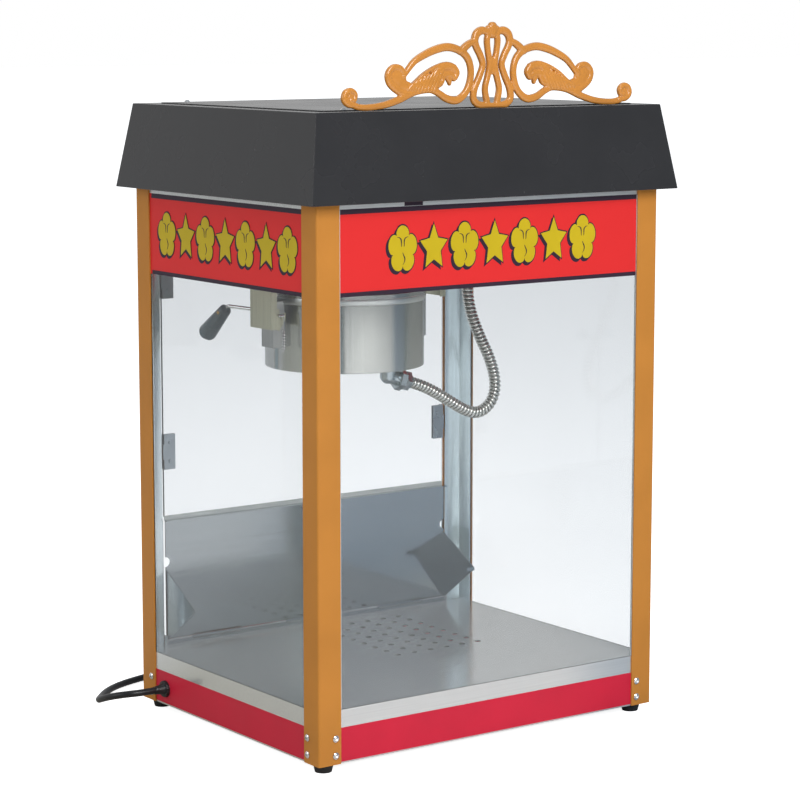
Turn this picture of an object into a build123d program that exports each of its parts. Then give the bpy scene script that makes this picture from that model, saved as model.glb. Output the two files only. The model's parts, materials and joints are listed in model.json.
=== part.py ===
"""Countertop popcorn maker: base, four gold posts, glass cabinet, canopy with crest,
tilting kettle with stirrer, two glass doors, tilting ramp gate and crumb drawer.

Millimetres. +X runs along the wide front, +Y towards the operator's side, +Z up.
The origin is on the floor, at the middle of the footprint.
"""
import math
import os

from build123d import *

os.makedirs("parts", exist_ok=True)

# ---------------------------------------------------------------- driving dimensions
WIDTH = 560.0            # over the posts, along X
DEPTH = 445.0            # over the posts, along Y
FOOT_HEIGHT = 12.0
SKIRT_TOP = 59.3         # red base sheet ends, bright deck edge begins
DECK_TOP = 83.0
SIGN_BOTTOM = 614.7
SIGN_TOP = 725.0
CANOPY_BOTTOM = 732.0
CEILING_BOTTOM = 744.0
CANOPY_TOP = 846.0
POST_LEG = 34.5
POST_SHEET = 2.0
SHEET = 1.2
GLASS = 4.0
CANOPY_SHEET = 1.5
CANOPY_OVERHANG_BOTTOM = 19.7
CANOPY_OVERHANG_TOP = 1.6
CANOPY_FLANGE = 36.0
RUN_FIT = 0.05           # radial clearance of turning shafts
BODY_GAP = 0.3           # clearance between bodies that only lie beside each other

# kettle
KETTLE_X = -62.0
KETTLE_Y = 33.0
KETTLE_RADIUS = 108.0
KETTLE_BOTTOM = 490.0
RIM_TOP = 595.0
PIVOT_Z = 606.0          # tilting axis, along X through the kettle's middle
ARM_OFFSET = 126.0       # kettle middle to the outer face of each side arm
TRUNNION_RADIUS = 6.0
LEFT_HANGER_OFFSET = 138.0
RIGHT_HANGER_OFFSET = 146.0

# operator's side
DOOR_BOTTOM = 266.0
DOOR_TOP = 702.0
DOOR_HINGE_X = 244.0
DOOR_HINGE_Y = 225.8
RAMP_PIVOT_Y = 215.0
RAMP_PIVOT_Z = 89.5
RAMP_HALF = 242.5
RAMP_TOP = 262.0
DRAWER_MIN_X = -44.0
DRAWER_MAX_X = 156.0

# flexible conduit and mains cord
CONDUIT_DIAMETER = 15.0
CORD_DIAMETER = 9.5
COIL_CENTRE = (-120.0, 300.0)
COIL_RADIUS = 52.5       # to the middle of the turns
GLAND_Y = 162.5
GLAND_Z = 35.0

HALF_W = WIDTH / 2
HALF_D = DEPTH / 2
IN_X = HALF_W - POST_SHEET        # inner face of the posts' sheet, along X
IN_Y = HALF_D - POST_SHEET
CORNERS = [(sx, sy) for sx in (-1, 1) for sy in (-1, 1)]


def save(part, name):
    """Labels one finished piece and writes it as its own STEP file."""
    part.label = name
    export_step(part, f"parts/{name}.step")


def box(x, y, z, mode=Mode.ADD):
    """A box given by its low and high limits along X, Y and Z."""
    with Locations(((x[0] + x[1]) / 2, (y[0] + y[1]) / 2, (z[0] + z[1]) / 2)):
        Box(x[1] - x[0], y[1] - y[0], z[1] - z[0], mode=mode)


def rod(start, end, radius, mode=Mode.ADD):
    """A straight round rod between two points."""
    axis = Vector(*end) - Vector(*start)
    with BuildSketch(Plane(origin=start, z_dir=axis)) as section:
        Circle(radius)
    extrude(section.sketch, amount=axis.length, mode=mode)


def arc_radii(points, share=0.45):
    """Radius of each corner: a share of the shorter run over the tangent of half the turn."""
    radii = []
    for before, corner, after in zip(points, points[1:], points[2:]):
        run_in = Vector(*corner) - Vector(*before)
        run_out = Vector(*after) - Vector(*corner)
        half_turn = math.radians(run_in.get_angle(run_out)) / 2
        radii.append(share * min(run_in.length, run_out.length) / math.tan(half_turn))
    return radii


def route_tube(points, diameter, name):
    """A round tube along straight runs joined by tangent arcs."""
    radii = arc_radii(points)
    print(name, "radii", [round(r, 1) for r in radii])
    with BuildPart() as tube:
        with BuildLine() as path:
            FilletPolyline(*points, radius=radii)
        with BuildSketch(Plane(origin=points[0], z_dir=path.line % 0)):
            Circle(diameter / 2)
        sweep(path=path.line)
    length = path.wire().length
    print(name, "length", round(length, 1), "volume ratio",
          round(tube.part.volume / (math.pi * diameter ** 2 / 4 * length), 4))
    return tube.part


# ---------------------------------------------------------------- base
def make_feet():
    """Four tapered rubber feet under the posts."""
    with BuildPart() as feet:
        for sx, sy in CORNERS:
            with BuildSketch(Plane((sx * 260, sy * 202.5, 0))):
                Circle(11)
            with BuildSketch(Plane((sx * 260, sy * 202.5, FOOT_HEIGHT))):
                Circle(14)
            loft()
    save(feet.part, "feet")


def make_base_floor():
    """Bottom plate inside the posts."""
    with BuildPart() as base_floor:
        box((-IN_X, IN_X), (-IN_Y, IN_Y), (FOOT_HEIGHT, FOOT_HEIGHT + 2))
    save(base_floor.part, "base_floor")


def make_base_skirt():
    """Red sheet on the front, left and right; the left one is bored for the cord gland."""
    z = (FOOT_HEIGHT + 2, SKIRT_TOP)
    side_y = (-IN_Y + SHEET, IN_Y - SHEET)
    with BuildPart() as base_skirt:
        box((-IN_X, IN_X), (-IN_Y, -IN_Y + SHEET), z)
        box((-IN_X, -IN_X + SHEET), side_y, z)
        box((IN_X - SHEET, IN_X), side_y, z)
        rod((-IN_X - 1, GLAND_Y, GLAND_Z), (-IN_X + 3, GLAND_Y, GLAND_Z), 7, Mode.SUBTRACT)
    save(base_skirt.part, "base_skirt")


def make_base_skirt_rear():
    """Red rear sheet with the crumb drawer's opening."""
    with BuildPart() as base_skirt_rear:
        box((-IN_X, IN_X), (IN_Y - SHEET, IN_Y), (FOOT_HEIGHT + 2, SKIRT_TOP))
        box((DRAWER_MIN_X - 1.5, DRAWER_MAX_X + 1.5), (IN_Y - 3, IN_Y + 3), (18.5, 56), Mode.SUBTRACT)
    save(base_skirt_rear.part, "base_skirt_rear")


def make_deck_pan():
    """Bright steel deck with turned-down edges and a field of crumb holes."""
    with BuildPart() as deck_pan:
        box((-IN_X, IN_X), (-IN_Y, IN_Y), (SKIRT_TOP, DECK_TOP))
        inner_x = IN_X - SHEET
        inner_y = IN_Y - SHEET
        box((-inner_x, inner_x), (-inner_y, inner_y), (SKIRT_TOP, DECK_TOP - 1.5), Mode.SUBTRACT)
        with BuildSketch(Plane((56, 72.5, DECK_TOP))) as crumb_holes:
            with GridLocations(28, 27.6, 6, 8):
                Circle(4.9)
        extrude(crumb_holes.sketch, amount=-3, mode=Mode.SUBTRACT)
    save(deck_pan.part, "deck_pan")


def make_drawer():
    """Crumb drawer: open tray, face plate and a folded pull."""
    tray_x = (DRAWER_MIN_X, DRAWER_MAX_X)
    tray_y = (-45, IN_Y + 0.5)
    tray_z = (20, 54)
    with BuildPart() as drawer:
        box(tray_x, tray_y, tray_z)
        box((tray_x[0] + SHEET, tray_x[1] - SHEET), (tray_y[0] + SHEET, tray_y[1] - SHEET),
            (tray_z[0] + SHEET, tray_z[1]), Mode.SUBTRACT)
        face_y = (IN_Y + 0.5, IN_Y + 1.9)
        box((tray_x[0] - 4, tray_x[1] + 4), face_y, (16, 58))
        middle = (tray_x[0] + tray_x[1]) / 2
        for offset in (-32, 30):
            box((middle + offset, middle + offset + 2), (face_y[1], HALF_D + 17), (32, 42))
        box((middle - 32, middle + 32), (HALF_D + 15, HALF_D + 17), (32, 42))
    save(drawer.part, "drawer")


def make_drawer_runners():
    """Two angle rails that carry the drawer."""
    with BuildPart() as drawer_runners:
        for side, edge in ((-1, DRAWER_MIN_X), (1, DRAWER_MAX_X)):
            web = sorted((edge + side * 1.4, edge + side * 2.6))
            ledge = sorted((edge + side * 2.6, edge - side * 5))
            box(web, (-50, 214), (FOOT_HEIGHT + 2, 42))
            box(ledge, (-50, 214), (18.2, 19.4))
    save(drawer_runners.part, "drawer_runners")


# ---------------------------------------------------------------- frame
def make_post(sx, sy, name):
    """One gold corner angle with a rounded outer edge and four screw holes."""
    with BuildPart() as post:
        with BuildSketch(Plane.XY.offset(FOOT_HEIGHT)) as section:
            with Locations((sx * (HALF_W - POST_LEG / 2), sy * (HALF_D - POST_LEG / 2))):
                Rectangle(POST_LEG, POST_LEG)
            outer = section.vertices().sort_by_distance((sx * HALF_W, sy * HALF_D, FOOT_HEIGHT))[0]
            fillet(outer, 3)
            with Locations((sx * (IN_X - POST_LEG / 2), sy * (IN_Y - POST_LEG / 2))):
                Rectangle(POST_LEG, POST_LEG, mode=Mode.SUBTRACT)
        extrude(amount=CANOPY_TOP - CANOPY_SHEET - FOOT_HEIGHT)
        for z in SCREW_HEIGHTS:
            x_hole = (sx * (HALF_W - SCREW_INSET), sy * HALF_D)
            y_hole = (sx * HALF_W, sy * (HALF_D - SCREW_INSET))
            rod((x_hole[0], x_hole[1] - sy * 3, z), (x_hole[0], x_hole[1] + sy, z), 2.6, Mode.SUBTRACT)
            rod((y_hole[0] - sx * 3, y_hole[1], z), (y_hole[0] + sx, y_hole[1], z), 2.6, Mode.SUBTRACT)
    save(post.part, name)


SCREW_HEIGHTS = (24.0, 46.5)
SCREW_INSET = 26.0


def dome_screw(seat, normal):
    """A button-head screw: low dome on its seat, hexagon socket, short shank behind."""
    seat_point = Vector(*seat)
    direction = Vector(*normal)
    base = Plane(origin=seat_point, z_dir=direction)
    with BuildSketch(base) as head:
        Circle(4.7)
    extrude(head.sketch, amount=1.2)
    with BuildSketch(base.offset(1.2)) as crown_low:
        Circle(4.7)
    with BuildSketch(base.offset(2.7)) as crown_high:
        Circle(2.9)
    loft([crown_low.sketch, crown_high.sketch])
    with BuildSketch(base) as shank:
        Circle(2.5)
    extrude(shank.sketch, amount=-POST_SHEET)
    with BuildSketch(base.offset(2.7)) as socket:
        RegularPolygon(1.7, 6)
    extrude(socket.sketch, amount=-1.5, mode=Mode.SUBTRACT)


def make_post_screws():
    """Sixteen screws, two on each face of each post."""
    with BuildPart() as post_screws:
        for sx, sy in CORNERS:
            for z in SCREW_HEIGHTS:
                dome_screw((sx * (HALF_W - SCREW_INSET), sy * HALF_D, z), (0, sy, 0))
                dome_screw((sx * HALF_W, sy * (HALF_D - SCREW_INSET), z), (sx, 0, 0))
    save(post_screws.part, "post_screws")


def make_inner_posts():
    """Four bright angles that clamp the glass from inside."""
    outer_x = IN_X - GLASS
    outer_y = IN_Y - GLASS
    leg = 28.0
    with BuildPart() as inner_posts:
        for sx, sy in CORNERS:
            with BuildSketch(Plane.XY.offset(DECK_TOP)):
                with Locations((sx * (outer_x - leg / 2), sy * (outer_y - leg / 2))):
                    Rectangle(leg, leg)
                with Locations((sx * (outer_x - 1.5 - leg / 2), sy * (outer_y - 1.5 - leg / 2))):
                    Rectangle(leg, leg, mode=Mode.SUBTRACT)
            extrude(amount=CEILING_BOTTOM - DECK_TOP)
    save(inner_posts.part, "inner_posts")


def make_glass():
    """Fixed panes: the front one, and the two side ones that butt against it."""
    z = (DECK_TOP, SIGN_BOTTOM)
    with BuildPart() as glass_front:
        box((-IN_X, IN_X), (-IN_Y, -IN_Y + GLASS), z)
    save(glass_front.part, "glass_front")
    side_y = (-IN_Y + GLASS, IN_Y - GLASS)
    with BuildPart() as glass_sides:
        box((-IN_X, -IN_X + GLASS), side_y, z)
        box((IN_X - GLASS, IN_X), side_y, z)
    save(glass_sides.part, "glass_sides")


def make_signs():
    """Printed sheets above the panes, 3 mm thick."""
    z = (SIGN_BOTTOM, SIGN_TOP)
    with BuildPart() as sign_front:
        box((-IN_X, IN_X), (-IN_Y, -IN_Y + 3), z)
    save(sign_front.part, "sign_front")
    side_y = (-IN_Y + 3, IN_Y - 3)
    with BuildPart() as sign_sides:
        box((-IN_X, -IN_X + 3), side_y, z)
        box((IN_X - 3, IN_X), side_y, z)
    save(sign_sides.part, "sign_sides")


def make_rear_header():
    """Fixed sheet above the doors."""
    with BuildPart() as rear_header:
        box((-IN_X, IN_X), (IN_Y - 3, IN_Y), (DOOR_TOP + 2, SIGN_TOP))
    save(rear_header.part, "rear_header")


def make_top_frame():
    """Bright ring that ties the posts together above the signs."""
    with BuildPart() as top_frame:
        box((-IN_X, IN_X), (-IN_Y, IN_Y), (SIGN_TOP, CEILING_BOTTOM + 1.5))
        box((-IN_X + 2, IN_X - 2), (-IN_Y + 2, IN_Y - 2), (SIGN_TOP, CEILING_BOTTOM + 1.5), Mode.SUBTRACT)
    save(top_frame.part, "top_frame")


def make_ceiling_panel():
    """Cabinet ceiling inside the ring, bored for the stirrer's drive shaft."""
    with BuildPart() as ceiling_panel:
        box((-IN_X + 2, IN_X - 2), (-IN_Y + 2, IN_Y - 2), (CEILING_BOTTOM, CEILING_BOTTOM + 1.5))
        with Locations((KETTLE_X, KETTLE_Y, CEILING_BOTTOM + 1.5)):
            Hole(9)
    save(ceiling_panel.part, "ceiling_panel")


# ---------------------------------------------------------------- canopy
CANOPY_SLOPE = (CANOPY_OVERHANG_BOTTOM - CANOPY_OVERHANG_TOP) / (CANOPY_TOP - CANOPY_BOTTOM)
SWITCH_HEIGHT = 788.0
SWITCH_PITCH = 46.0
SWITCH_SEAT = Plane((0, HALF_D + CANOPY_OVERHANG_TOP + (CANOPY_TOP - SWITCH_HEIGHT) * CANOPY_SLOPE, SWITCH_HEIGHT),
                    x_dir=(-1, 0, 0), z_dir=(0, 1, CANOPY_SLOPE))


def canopy_rectangle(overhang):
    """A plan rectangle that stands out from the posts by the given overhang."""
    Rectangle(WIDTH + 2 * overhang, DEPTH + 2 * overhang)


def make_canopy_side(name, wedges):
    """Part of the sloped canopy shell, cut from the whole at its mitred corners."""
    with BuildPart() as side:
        with BuildSketch(Plane.XY.offset(CANOPY_BOTTOM)):
            canopy_rectangle(CANOPY_OVERHANG_BOTTOM)
        with BuildSketch(Plane.XY.offset(CANOPY_TOP)):
            canopy_rectangle(CANOPY_OVERHANG_TOP)
        loft()
        with BuildSketch(Plane.XY.offset(CANOPY_BOTTOM)):
            canopy_rectangle(CANOPY_OVERHANG_BOTTOM - CANOPY_SHEET)
        with BuildSketch(Plane.XY.offset(CANOPY_TOP - CANOPY_SHEET)):
            canopy_rectangle(CANOPY_OVERHANG_TOP + CANOPY_SLOPE * CANOPY_SHEET - CANOPY_SHEET)
        loft(mode=Mode.SUBTRACT)
        with BuildSketch(Plane.XY.offset(CANOPY_TOP)) as mouth:
            canopy_rectangle(CANOPY_OVERHANG_TOP - CANOPY_FLANGE)
        extrude(mouth.sketch, amount=-5, mode=Mode.SUBTRACT)
        with BuildSketch(Plane.XY.offset(CANOPY_BOTTOM)) as keep:
            for wedge in wedges:
                with BuildLine():
                    Polyline(*wedge, close=True)
                make_face()
        extrude(keep.sketch, amount=CANOPY_TOP - CANOPY_BOTTOM, mode=Mode.INTERSECT)
        with BuildSketch(SWITCH_SEAT.offset(3)) as switch_holes:
            with GridLocations(SWITCH_PITCH, 1, 3, 1):
                Rectangle(22.6, 30.6)
        extrude(switch_holes.sketch, amount=-9, mode=Mode.SUBTRACT)
    save(side.part, name)


def make_canopy():
    """Four sloped sheets mitred at the corners, and the flat lid on their top flanges."""
    reach = 60.0                                  # how far the cutting wedges pass the sheets
    far_x = HALF_W + reach
    far_y = HALF_D + reach
    near_x = HALF_W - HALF_D                      # the mitre lines cross the X axis here
    front = [(-far_x, -far_y), (far_x, -far_y), (near_x, 0), (-near_x, 0)]
    rear = [(-far_x, far_y), (far_x, far_y), (near_x, 0), (-near_x, 0)]
    left = [(-far_x, -far_y), (-near_x, 0), (-far_x, far_y)]
    right = [(far_x, -far_y), (near_x, 0), (far_x, far_y)]
    make_canopy_side("canopy_front", [front])
    make_canopy_side("canopy_rear", [rear])
    make_canopy_side("canopy_sides", [left, right])
    with BuildPart() as canopy_lid:
        with BuildSketch(Plane.XY.offset(CANOPY_TOP)):
            RectangleRounded(508, 394, 4)
        extrude(amount=1.5)
    save(canopy_lid.part, "canopy_lid")
    with BuildPart() as canopy_screws:
        for sx, sy in CORNERS:
            with BuildSketch(Plane((sx * 216, sy * 189, CANOPY_TOP + 1.5))):
                Circle(4.2)
            with BuildSketch(Plane((sx * 216, sy * 189, CANOPY_TOP + 4))):
                Circle(2.4)
            loft()
    save(canopy_screws.part, "canopy_screws")


# ---------------------------------------------------------------- crest
CREST_Y = -214.5
CREST_THICKNESS = 9.0


def stroke(points, width):
    """A band of constant width along a smooth line through the given points."""
    with BuildLine(mode=Mode.PRIVATE) as middle:
        Spline(*points)
    trace(middle.line, line_width=width)


def make_crest():
    """Cast scroll ornament on the canopy's front edge, mirrored about its middle."""
    face = Plane((0, CREST_Y + CREST_THICKNESS / 2, CANOPY_TOP), x_dir=(1, 0, 0), z_dir=(0, -1, 0))
    with BuildPart() as crest:
        with BuildSketch(face) as outline:
            stroke([(140, 46), (126, 60), (110, 69), (91, 76), (72, 79), (54, 75), (41, 66), (35, 52),
                    (36, 36), (43, 21), (57, 11.5), (73, 13.5), (87, 21), (101, 26)], 9)
            stroke([(90, 24), (126, 23), (149, 13.5), (173, 6.5), (198, 4.2), (221, 7)], 8)
            stroke([(30, 85), (39, 82), (48, 74)], 9)
            with Locations((153, 42)):
                Circle(13.5)
            with Locations((224, 16)):
                Circle(11)
            with BuildLine():
                Polyline((139, 32), (166, 38), (158, 26), (146, 18), (122, 24), close=True)
            make_face()
            with BuildLine():
                Spline((56, 40), (54, 47), (59, 55), (73, 58), (90, 54.5), (111, 45), (127, 33), (141, 27))
                Polyline((141, 27), (126, 20), (101, 21), (80, 24))
                Polyline((80, 24), (79, 31), (74, 34), (69, 32), (64, 28), (59, 34), (56, 40))
            make_face()
            stroke([(0, 105), (13, 107), (25, 103), (31, 95), (29, 86), (19, 71), (15, 56), (22, 41),
                    (30, 25), (30, 12), (21, 5), (0, 4)], 7.5)
            stroke([(2, 104), (7.5, 87), (5.5, 70), (3, 56), (7, 41), (11, 25), (6, 8)], 6.5)
            with Locations((0, 106)):
                Circle(6)
            mirror(about=Plane.YZ)
        extrude(outline.sketch, amount=CREST_THICKNESS)
        box((-4, 4), (CREST_Y - 4.5, CREST_Y + 4.5), (CANOPY_TOP, CANOPY_TOP + 10))
        box((-HALF_W, HALF_W), (CREST_Y - 9, CREST_Y + 9), (CANOPY_TOP - 9, CANOPY_TOP), Mode.SUBTRACT)
    save(crest.part, "crest")


# ---------------------------------------------------------------- switches and top gear
def make_controls():
    """Switch plate on the rear sheet of the canopy, and its three rocker switches in the off position."""
    with BuildPart() as control_plate:
        with BuildSketch(SWITCH_SEAT):
            RectangleRounded(150, 42, 4)
            with GridLocations(SWITCH_PITCH, 1, 3, 1):
                Rectangle(22.6, 30.6, mode=Mode.SUBTRACT)
        extrude(amount=1.5)
    save(control_plate.part, "control_plate")
    radius = 14.6                                 # the rocker's ends turn on this radius
    tilt = 10.0                                   # it leans this far either way
    for place, name in ((1, "switch_warmer"), (0, "switch_stirrer"), (-1, "switch_kettle")):
        axis_point = SWITCH_SEAT.from_local_coords((place * SWITCH_PITCH - 11, 0, 0))
        side_view = Plane(origin=axis_point, x_dir=SWITCH_SEAT.y_dir, z_dir=SWITCH_SEAT.x_dir)
        with BuildPart() as rocker:
            with BuildSketch(side_view):
                with BuildLine():
                    upper_end = CenterArc((0, 0), radius, tilt - 24, 46)
                    lower_end = CenterArc((0, 0), radius, tilt + 158, 46)
                    Line(lower_end @ 1, upper_end @ 0)
                    valley = Vector(0, 2.6).rotate(Axis.Z, tilt)
                    Polyline(upper_end @ 1, valley, lower_end @ 0)
                make_face()
            extrude(amount=22)
        save(rocker.part, name)


def make_gear_motor():
    """Gearbox on the ceiling over the kettle, with its motor lying beside it."""
    top = CEILING_BOTTOM + 1.5
    with BuildPart() as gear_motor:
        box((KETTLE_X - 32, KETTLE_X + 32), (KETTLE_Y - 30, KETTLE_Y + 30), (top, top + 40))
        rod((KETTLE_X + 32, KETTLE_Y, top + 30), (KETTLE_X + 112, KETTLE_Y, top + 30), 28)
        rod((KETTLE_X, KETTLE_Y, top), (KETTLE_X, KETTLE_Y, top + 36), 5 + RUN_FIT, Mode.SUBTRACT)
    save(gear_motor.part, "gear_motor")


def make_lamp():
    """Cabinet lamp under the ceiling: socket and bulb."""
    x, y = 150.0, -110.0
    with BuildPart() as ceiling_fittings:
        with BuildSketch(Plane((x, y, CEILING_BOTTOM))):
            Circle(20)
        extrude(amount=-26)
        with BuildSketch(Plane((CONDUIT_TOP[0], CONDUIT_TOP[1], CEILING_BOTTOM))):
            RegularPolygon(15, 6)
        extrude(amount=-8)
        with BuildSketch(Plane((CONDUIT_TOP[0], CONDUIT_TOP[1], CEILING_BOTTOM - 8))):
            Circle(11)
        extrude(amount=-(CEILING_BOTTOM - 8 - CONDUIT_TOP[2]))
    save(ceiling_fittings.part, "ceiling_fittings")
    with BuildPart() as lamp_bulb:
        with BuildSketch(Plane(origin=(x, y, 0), x_dir=(1, 0, 0), z_dir=(0, -1, 0))):
            with BuildLine():
                top = CEILING_BOTTOM - 26
                Polyline((0, top - 75), (0, top), (13, top), (14, top - 18))
                Spline((14, top - 18), (24, top - 45), (0, top - 75), tangents=[(0.1, -1), (-1, 0)])
            make_face()
        revolve(axis=Axis((x, y, 0), (0, 0, 1)))
    save(lamp_bulb.part, "lamp_bulb")


# ---------------------------------------------------------------- kettle and its hangers
def make_hanger(side, offset, low, name):
    """Bent bracket from the ceiling: a web with the pivot bore, and a strap above it."""
    inner = KETTLE_X + side * offset
    outer = inner + side * 1.5
    web_top = 632.0
    web_x = sorted((inner, outer))
    flange_x = sorted((outer, inner - side * 8))
    strap_x = sorted((outer, inner - side * 24))
    with BuildPart() as hanger:
        box(web_x, (0, 52), (low, web_top))
        box(flange_x, (0, 1.5), (low, web_top))
        box(strap_x, (0, 1.5), (web_top, CEILING_BOTTOM))
        box(strap_x, (0, 22), (CEILING_BOTTOM - 1.5, CEILING_BOTTOM))
        if side < 0:
            with BuildSketch(Plane((0, 1.5, 0), x_dir=(1, 0, 0), z_dir=(0, -1, 0))) as hook:
                with BuildLine():
                    Polyline((inner + 8, 549), (inner + 11, 547), (inner + 21, 561), (inner + 22, 571),
                             (inner + 18.5, 571), (inner + 13, 563.5), (inner + 11.5, 577),
                             (inner + 8, 577), close=True)
                make_face()
            extrude(hook.sketch, amount=1.5)
        pivot_start = (inner - side * 5, KETTLE_Y, PIVOT_Z)
        pivot_end = (outer + side * 5, KETTLE_Y, PIVOT_Z)
        rod(pivot_start, pivot_end, TRUNNION_RADIUS + RUN_FIT, Mode.SUBTRACT)
    save(hanger.part, name)


def make_kettle_catch():
    """Pin in the hanger's hook, and the spring hanging below it."""
    x = KETTLE_X - LEFT_HANGER_OFFSET + 12
    with BuildPart() as kettle_catch:
        rod((x - 3.8, -2, 568), (x + 5.5, -2, 568), 2)
        rod((x + 4, -3.2, 524), (x + 4, -3.2, 546), 2.9)
    save(kettle_catch.part, "kettle_catch")


def make_kettle_shell():
    """Outer brushed shell of the kettle, closed below."""
    with BuildPart() as kettle_shell:
        with BuildSketch(Plane((KETTLE_X, KETTLE_Y, KETTLE_BOTTOM))):
            Circle(KETTLE_RADIUS)
        extrude(amount=RIM_TOP - 1.5 - KETTLE_BOTTOM)
        with BuildSketch(Plane((KETTLE_X, KETTLE_Y, KETTLE_BOTTOM + SHEET))) as hollow:
            Circle(KETTLE_RADIUS - SHEET)
        extrude(hollow.sketch, amount=RIM_TOP, mode=Mode.SUBTRACT)
        fillet(kettle_shell.edges().group_by(Axis.Z)[0], 0.9)
    save(kettle_shell.part, "kettle_shell")


def make_kettle_pan():
    """Cooking pan with the rim flange that closes the shell."""
    with BuildPart() as kettle_pan:
        with BuildSketch(Plane(origin=(KETTLE_X, KETTLE_Y, 0), x_dir=(1, 0, 0), z_dir=(0, -1, 0))):
            with BuildLine():
                Polyline((0, 512), (100, 512), (100, RIM_TOP - 1.5), (109.5, RIM_TOP - 1.5),
                         (109.5, RIM_TOP - 9), (111, RIM_TOP - 9), (111, RIM_TOP), (98, RIM_TOP),
                         (98, 514), (0, 514), close=True)
            make_face()
        revolve(axis=Axis((KETTLE_X, KETTLE_Y, 0), (0, 0, 1)))
    save(kettle_pan.part, "kettle_pan")


def make_heater_plate():
    """Heating element disc under the pan."""
    with BuildPart() as heater_plate:
        with BuildSketch(Plane((KETTLE_X, KETTLE_Y, 512))):
            Circle(88)
        extrude(amount=-8)
    save(heater_plate.part, "heater_plate")


LID_HINGE_Y = KETTLE_Y - 13.5
LID_HINGE_Z = 599.6
LID_BARRELS = ((-61, -18), (18, 61))
LID_RADIUS = 104.0
BRIDGE_HALF = 9.0


def make_kettle_bridge():
    """Bar across the rim with the stirrer's bearing, hinge ears and lid pins."""
    with BuildPart() as kettle_bridge:
        box((KETTLE_X - KETTLE_RADIUS, KETTLE_X + KETTLE_RADIUS),
            (KETTLE_Y - BRIDGE_HALF, KETTLE_Y + BRIDGE_HALF), (RIM_TOP, RIM_TOP + 6))
        for ear in (-65, -16.5, 16.5, 65):
            box((KETTLE_X + ear - 1, KETTLE_X + ear + 1), (LID_HINGE_Y - 3, KETTLE_Y - 6), (RIM_TOP + 2, 603))
        for low, high in ((-66, -15.5), (15.5, 66)):
            rod((KETTLE_X + low, LID_HINGE_Y, LID_HINGE_Z), (KETTLE_X + high, LID_HINGE_Y, LID_HINGE_Z), 2)
        with Locations((KETTLE_X, KETTLE_Y, RIM_TOP + 6)):
            Hole(4 + RUN_FIT)
    save(kettle_bridge.part, "kettle_bridge")


def make_kettle_arms():
    """Two channels welded to the shell, each with its trunnion in line with the pivot."""
    with BuildPart() as kettle_arms:
        for side in (-1, 1):
            web_outer = KETTLE_X + side * ARM_OFFSET
            web_x = sorted((web_outer, web_outer - side * 1.5))
            skin_x = sorted((web_outer - side * 1.5, KETTLE_X + side * 98))
            box(web_x, (17.5, 45), (522, 618))
            box(skin_x, (17.5, 19), (522, 585))
            box(skin_x, (43.5, 45), (560, 585))
        with BuildSketch(Plane((KETTLE_X, KETTLE_Y, 500))) as shell_space:
            Circle(KETTLE_RADIUS)
        extrude(shell_space.sketch, amount=130, mode=Mode.SUBTRACT)
        for side, reach in ((-1, LEFT_HANGER_OFFSET + 6), (1, RIGHT_HANGER_OFFSET + 5)):
            start = KETTLE_X + side * (ARM_OFFSET - 1.5)
            rod((start, KETTLE_Y, PIVOT_Z), (KETTLE_X + side * reach, KETTLE_Y, PIVOT_Z), TRUNNION_RADIUS)
    save(kettle_arms.part, "kettle_arms")


def make_dump_handle():
    """Bent rod from the left arm, and the tapered grip on its end."""
    x = KETTLE_X - ARM_OFFSET - 6
    grip_start = Vector(-210, 98, 571)
    grip_end = Vector(-210, 155, 527.5)
    along = (grip_end - grip_start).normalized()
    bend = grip_start - along * 5
    points = [(x, 30, 572), (x, 52, 572), tuple(bend), tuple(grip_start + along * 12)]
    with BuildPart() as dump_handle:
        with BuildLine() as path:
            FilletPolyline(*points, radius=[12, 4])
        with BuildSketch(Plane(origin=points[0], z_dir=path.line % 0)):
            Circle(2.6)
        sweep(path=path.line)
        rod((KETTLE_X - ARM_OFFSET, 30, 572), (x - 3.6, 30, 572), 7)
    with BuildPart() as handle_grip:
        with BuildSketch(Plane(origin=grip_start, z_dir=along)) as narrow:
            Circle(8)
        with BuildSketch(Plane(origin=grip_end, z_dir=along)) as wide:
            Circle(13.5)
        loft([narrow.sketch, wide.sketch])
        fillet(handle_grip.edges().sort_by(Axis.Z)[0], 6)
        add(dump_handle.part, mode=Mode.SUBTRACT)
    save(dump_handle.part, "dump_handle")
    save(handle_grip.part, "handle_grip")


CONDUIT_POINTS = [(33, 20, 459.5), (58, 20, 452), (92, 20, 434.5), (134, 20, 409), (160, 20, 402.5),
                  (183, 20, 416), (191, 20, 442), (181, 20, 478), (158, 20, 518), (140, 20, 560),
                  (133, 20, 636), (133, 20, 712)]
CONDUIT_TOP = CONDUIT_POINTS[-1]


def make_conduit():
    """Elbow connector under the kettle, and the flexible conduit up to the ceiling."""
    start = Vector(*CONDUIT_POINTS[0])
    along = (Vector(*CONDUIT_POINTS[1]) - start).normalized()
    heel = start - along * 34
    with BuildPart() as conduit_elbow:
        rod((heel.X, heel.Y, KETTLE_BOTTOM), (heel.X, heel.Y, heel.Z), 11)
        with Locations(heel):
            Sphere(11)
        rod(tuple(heel), tuple(start), 10)
        with BuildSketch(Plane(origin=start - along * 18, z_dir=along)) as nut:
            RegularPolygon(16, 6)
        extrude(nut.sketch, amount=9)
    save(conduit_elbow.part, "conduit_elbow")
    save(route_tube(CONDUIT_POINTS, CONDUIT_DIAMETER, "flex_conduit"), "flex_conduit")


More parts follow.
